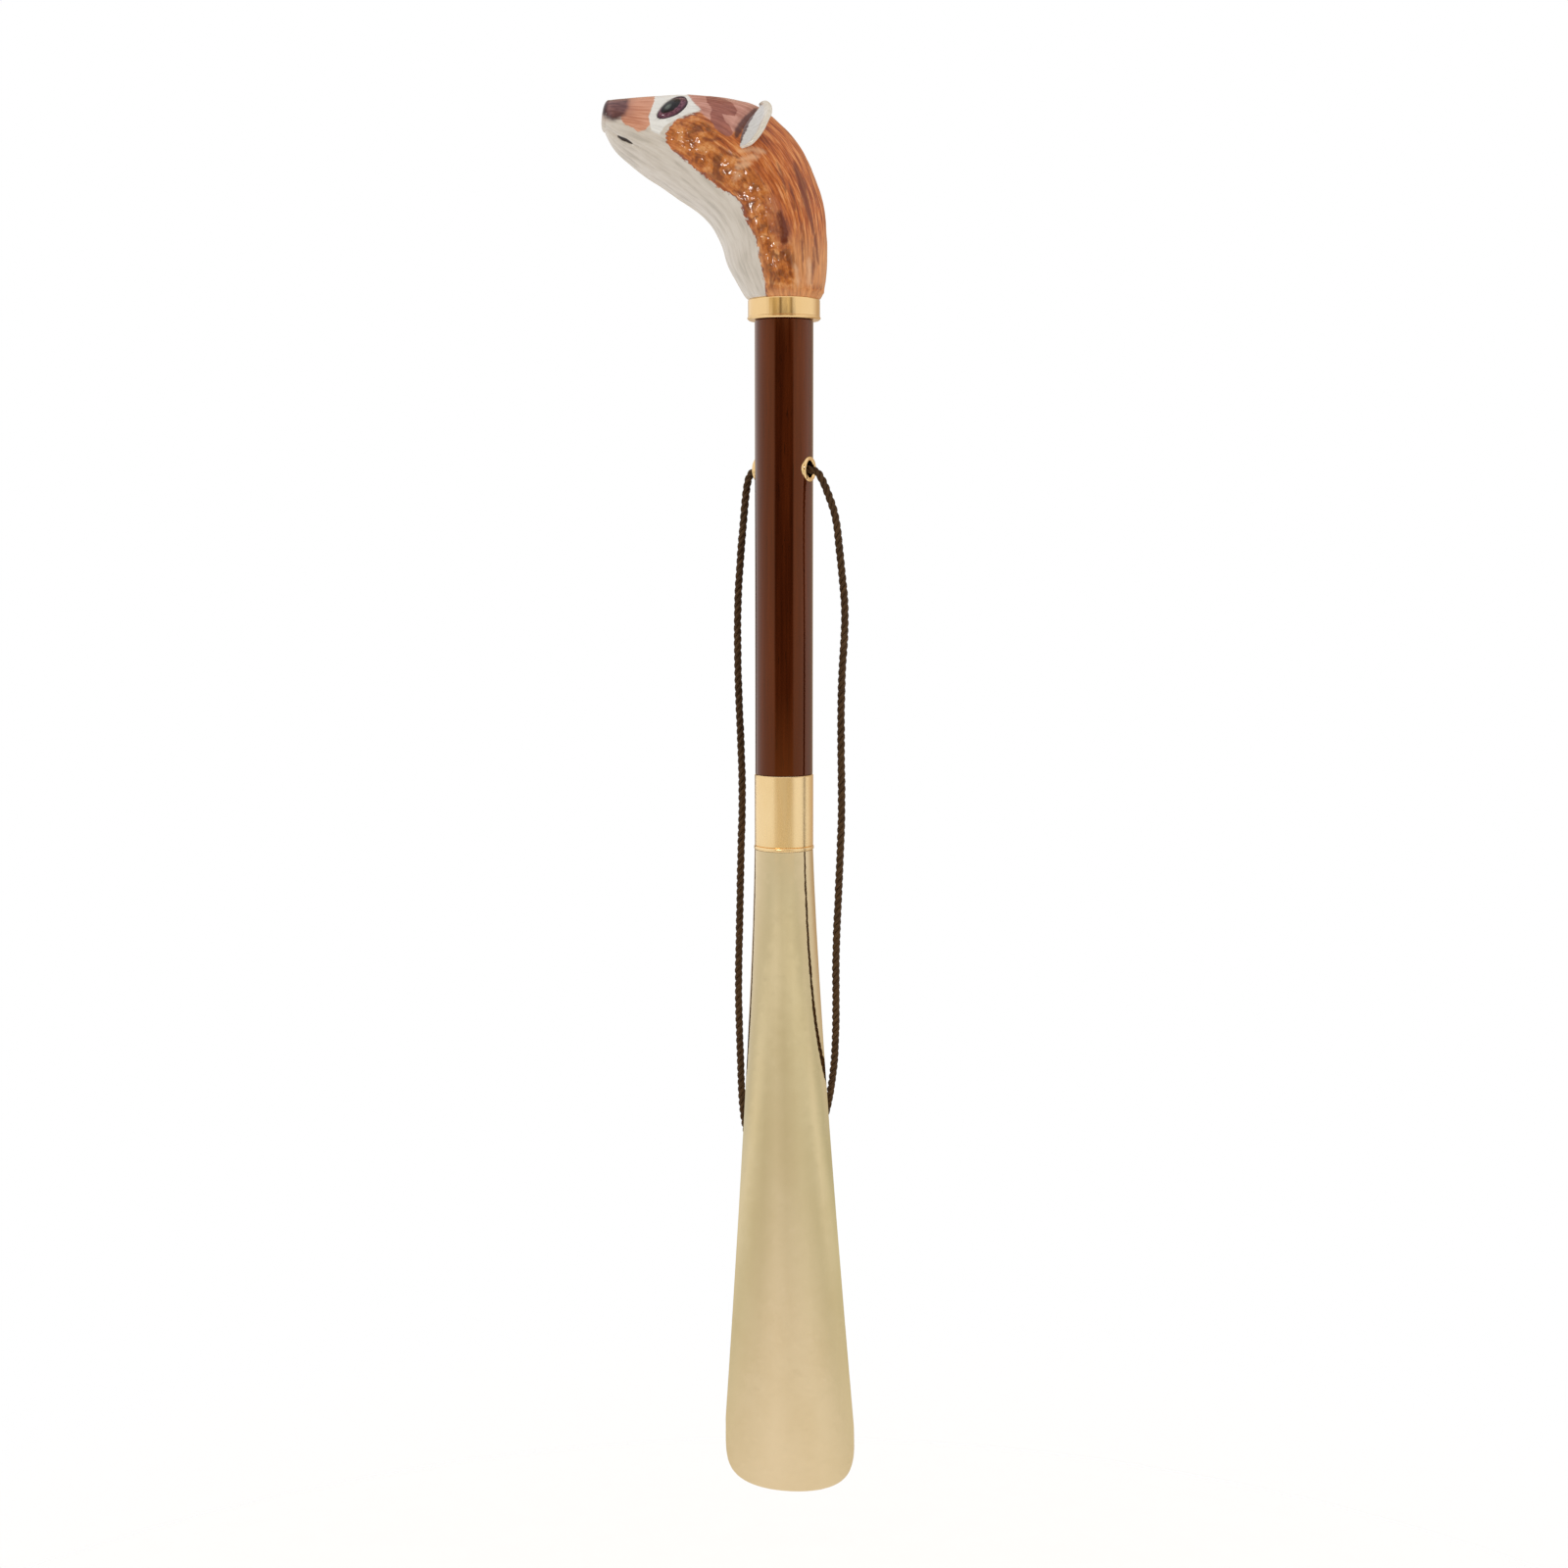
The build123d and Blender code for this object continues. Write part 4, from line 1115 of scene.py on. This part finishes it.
def make_world():
    """Soft white light from all round, but for a darker opening behind the camera."""
    world = bpy.data.worlds.new("studio")
    bpy.context.scene.world = world
    room = Nodes(world)
    place = room.node("ShaderNodeTexCoord").outputs["Generated"]
    x, y, z = room.node("ShaderNodeSeparateXYZ", vector=place).outputs
    azimuth = room.maths("DEGREES", room.maths("ARCTAN2", x, room.maths("MULTIPLY", y, -1.0)))
    aside = room.maths("ABSOLUTE", azimuth)
    leftward = room.maths("MULTIPLY", azimuth, -1.0)
    elevation = room.maths("DEGREES", room.maths("ARCSINE", z))

    streaks = room.ramp(azimuth, STREAKS, -140, 140)
    walls = room.ramp(elevation, ROOM, -40, 0)
    walls = room.mix(room.between(elevation, *STREAKS_BELOW), walls, streaks, "MULTIPLY")
    behind = (room.between(azimuth, *BEHIND_RIGHT), room.between(leftward, *BEHIND_LEFT))
    walls = room.mix(room.maths("MAXIMUM", *behind), walls, BEHIND)

    in_strips = room.between(elevation, *STRIPS_FROM)
    opening = room.mix(in_strips, room.ramp(elevation, OPENING, -14, 0), room.ramp(azimuth, STRIPS, -60, 60))
    share = room.mix(in_strips, room.between(aside, *OPENING_SIDES), room.between(aside, *STRIPS_SIDES))
    share = room.maths("MULTIPLY", share, room.between(elevation, *OPENING_FOOT))
    share = room.maths("MULTIPLY", share, room.between(elevation, *OPENING_TOP))
    colour = room.mix(share, walls, opening)

    seen = room.node("ShaderNodeLightPath").outputs["Is Camera Ray"]
    background = room.nodes["Background"]
    room.put(background, "Color", room.mix(seen, colour, (1, 1, 1)))
    room.put(background, "Strength", 1.0)


def make_light(name, place, size, power):
    data = bpy.data.lights.new(name, "AREA")
    data.size = size
    data.energy = power
    light = bpy.data.objects.new(name, data)
    light.location = place
    light.visible_diffuse = False
    target = Vector((0, 0, 0.1))
    light.rotation_euler = (target - Vector(place)).to_track_quat("-Z", "Y").to_euler()
    bpy.context.scene.collection.objects.link(light)


make_floor()
make_world()
make_light("glint", GLINT_PLACE, GLINT_SIZE, GLINT_POWER)
